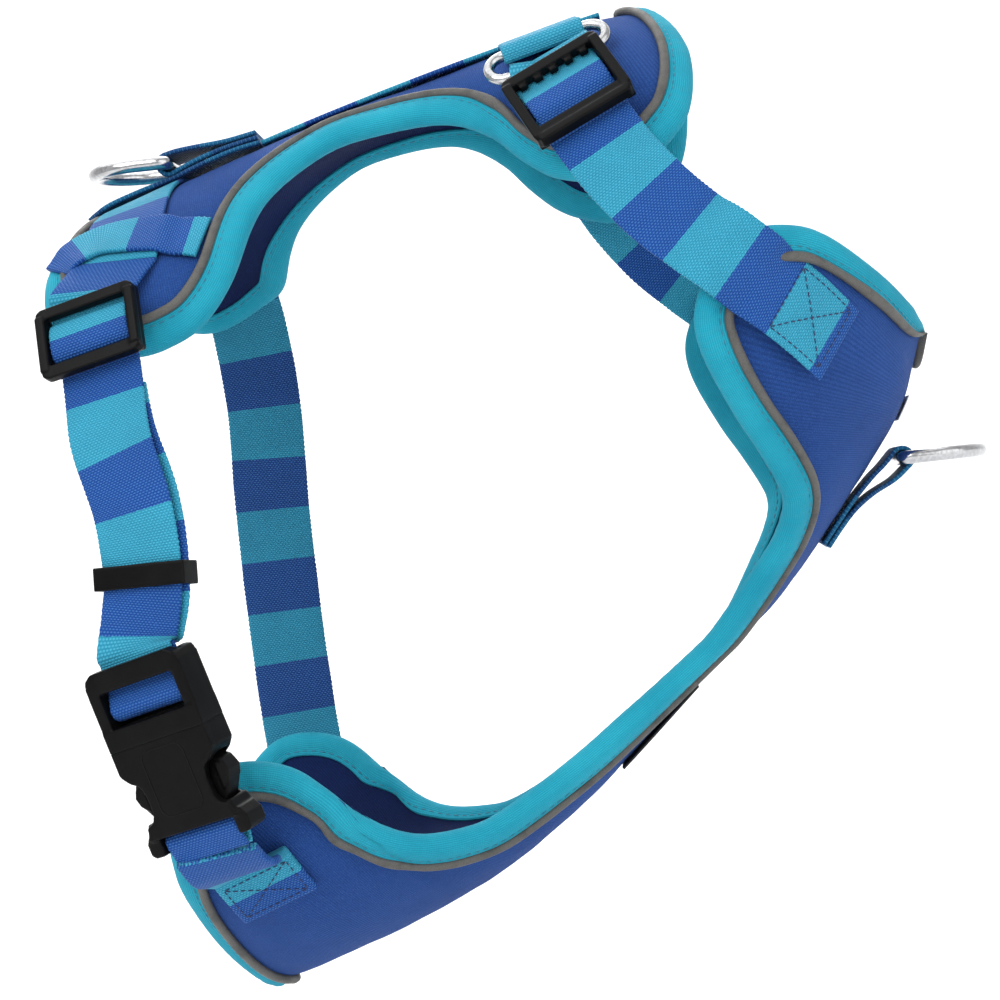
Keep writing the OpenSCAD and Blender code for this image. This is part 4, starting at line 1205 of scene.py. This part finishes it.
def neck_parts(side):
    tag = "near" if side < 0 else "far"
    put = (lambda piece: piece) if side < 0 else mirrored

    def lay(stem, path, normals, start):
        piece = web(stem + tag + "_web", path, normals, start=start, material=m_web)
        keep(put(piece), FIXED, "webbing", stem + tag)

    lay("neck_strap_", neck_route, neck_route_n, 0.5)
    bar = ring_o - ring_dir * 4.9
    pts = [tab_at(v, WEB_H) for v in (-0.12, -0.18, -0.24, -0.3, -0.34)]
    pts += ring_points(bar[1], bar[2], 2.6, 235, 55, 10)
    pts += [tab_at(-0.33, 7.2), tab_at(-0.26, 6.0), tab_at(-0.18, WEB_H + 1.7)]
    pts += [tab_at(-0.12, WEB_H + 1.6)]
    tab = ribbon_yz("neck_tab_" + tag + "_web", pts, ring_o[0], 12, 0.7, 0.8)
    keep(put(tab), FIXED, "webbing", "neck_tab_" + tag)
    z = square_to(np.array([0, -0.77, 0.62]), ring_dir)
    half = slot_half + 0.2
    turns = np.linspace(0.2, math.pi - 0.2, 12)
    path = [(a, -4.9, 0) for a in np.linspace(-half, half, 12)]
    path += [(half + 4.9 * math.sin(a), -4.9 * math.cos(a), 0) for a in turns]
    path += [(a, 4.9, 0) for a in np.linspace(half, -half, 12)]
    path += [(-half - 4.9 * math.sin(a), 4.9 * math.cos(a), 0) for a in turns]
    ring = wire("neck_ring_" + tag + "_wire", path, 1.6, (0, 0, 1), m_chrome)
    placed(ring, ring_o, np.array([1.0, 0, 0]), z)
    keep(put(ring), FIXED, "ring_metal", "neck_ring_" + tag)
    low = ring_o + ring_dir * 4.9
    up_x = unit(neck_run * np.array([0, -1, -1]))
    out_x = np.cross([1.0, 0, 0], up_x)
    loop = [low + up_x * a + out_x * b for a, b in ring_points(0, 0, 2.6, 110, -110, 12)]
    under = [neck_o - neck_run * 9 + neck_out * 1.7, neck_o - neck_run * 12.4 + neck_out * 1.9]
    tuck = [low - up_x * 3.4 - out_x * 2.2]
    return_p, _ = curve_through(np.array(under + loop + tuck), 0.6)
    return_n = np.cross(unit(np.gradient(return_p, axis=0)), neck_x)
    lay("neck_return_", return_p, return_n, 4)
    body = moulded("neck_slider_" + tag + "_body", slider_parts(28, 3.6, 5.4, 5), m_plastic)
    placed(body, neck_o + neck_out * 0.7, neck_x, neck_out)
    keep(put(body), "slider_" + tag, "black_plastic", "neck_slider_" + tag)
    cover = web("neck_slider_" + tag + "_web", *wrap_route(28), start=18.8, material=m_web, step=0.6)
    placed(cover, neck_o + neck_out * 0.7, neck_x, neck_out)
    keep(put(cover), "slider_" + tag, "webbing", "neck_slider_wrap_" + tag)


neck_parts(-1)
neck_parts(1)

# ---- build: box stitching


def box_x(path, nrm, start, end, lift, half=10.3):
    """A stitched rectangle with a cross in it, on webbing between two distances from its end."""
    both, s = along(np.hstack([path, nrm]), 0.5)
    t, n, a = frames(both[:, :3], unit(both[:, 3:]))

    def at(dist, x):
        p = np.stack([np.interp(dist, s, both[:, i]) for i in range(3)], -1)
        nn = unit(np.stack([np.interp(dist, s, n[:, i]) for i in range(3)], -1))
        aa = unit(np.stack([np.interp(dist, s, a[:, i]) for i in range(3)], -1))
        return p + aa * x[..., None] + nn * lift, nn

    q = np.linspace(0, 1, 14)
    down, over = mix(start, end, q), mix(-half, half, q)
    lines = [(down, -half + 0 * q), (down, half + 0 * q), (start + 0 * q, over), (end + 0 * q, over),
             (down, over), (down, mix(half, -half, q))]
    return [at(d, x) for d, x in lines]


def length_of(path):
    return along(path, 0.5)[1][-1]


def box_stitch(tag, lines):
    return stitches(tag + "_box_stitch", lines, m_navy, 1.7, 2.2, 0.2)


length = length_of(neck_route)
lines = box_x(neck_route, neck_route_n, length - 22, length - 2.5, 0.78)
keep(box_stitch("neck_near", lines), FIXED, "webbing")
keep(mirrored(box_stitch("neck_far", lines)), FIXED, "webbing")
lines = box_x(end_p, end_n, 2.5, length_of(end_p) - 2, 1.28)
keep(box_stitch("stub", lines), FIXED, "webbing")
lines = box_x(far_end, far_end_n, 2, length_of(far_end) - 2, 0.78)
keep(box_stitch("far", lines), FIXED, "webbing")

# ---- build: label and patch


def centre_piece(name, s, width, long, lift, thick, material, slot, node):
    """A thin tab with rounded edges, following the chest's centre line."""
    span = long / 25.0
    at = np.linspace(s - span / 2, s + span / 2, 24)
    c = rows(CENTRE, at)
    d = unit(np.gradient(c, axis=0))
    p = np.stack([c[:, 0], 0 * at, c[:, 1]], 1)
    n = np.stack([-d[:, 1], 0 * at, d[:, 0]], 1)
    both, dist = along(np.hstack([p, n]), 0.6)
    mid = dist[-1] / 2
    use = np.abs(dist - mid) <= long / 2
    p, n = both[use, :3], both[use, 3:]
    piece = web(name, p + n * lift, n, width=width, thick=thick, material=material, step=1.0)
    return keep(piece, FIXED, slot, node)


centre_piece("blank_label", 1.25, 14, 12, 3.6, 0.5, m_label, "label_tape", "chest_label")
centre_piece("blank_breast_patch", 5.45, 20, 34, 3.6, 0.9, m_patch, "rubber_patch", "breast_patch")

# ---- stage and light


def stage():
    pts = [(-1.6, 0), (0.6, 0)]
    pts += [(0.6 + 0.6 * math.sin(a), 0.6 - 0.6 * math.cos(a)) for a in np.linspace(0.1, math.pi / 2, 12)]
    pts += [(1.2, 2.4)]
    verts = [(x, y, z) for y, z in pts for x in (-3, 3)]
    faces = [(2 * i, 2 * i + 1, 2 * i + 3, 2 * i + 2) for i in range(len(pts) - 1)]
    g = Nodes("pale_floor", 0.9, Specular_IOR_Level=0.1)
    tone = g.mix(g.range(g.noise(3, 2), 0.3, 0.7, 0, 1), (0.93, 0.93, 0.93, 1), (0.9, 0.9, 0.9, 1))
    floor = make("floor", np.array(verts) / MM, faces, None, g.finish(tone))
    floor.location.z = cad_box[0][2] - 0.05


stage()


def area(name, at, target, size, power):
    light = bpy.data.objects.new(name, bpy.data.lights.new(name, "AREA"))
    light.data.shape = "DISK"
    light.data.size = size
    light.data.energy = power
    light.location = at
    light.rotation_euler = (Vector(target) - Vector(at)).to_track_quat("-Z", "Y").to_euler()
    scene.collection.objects.link(light)


area("key", (-0.5, -1.3, 1.3), (0.08, 0, 0), 1.6, 23)
area("fill", (1.2, -1.2, 0.3), (0.1, 0, 0), 1.8, 9)
area("top", (0.1, 0.3, 1.6), (0.1, 0, 0), 2.2, 13)
area("rear", (0.2, 1.0, 0.9), (0.1, 0, 0), 0.9, 8)
world = bpy.data.worlds.new("studio")
world.use_nodes = True
world.node_tree.nodes["Background"].inputs[0].default_value = (1, 1, 1, 1)
world.node_tree.nodes["Background"].inputs[1].default_value = 0.64
scene.world = world
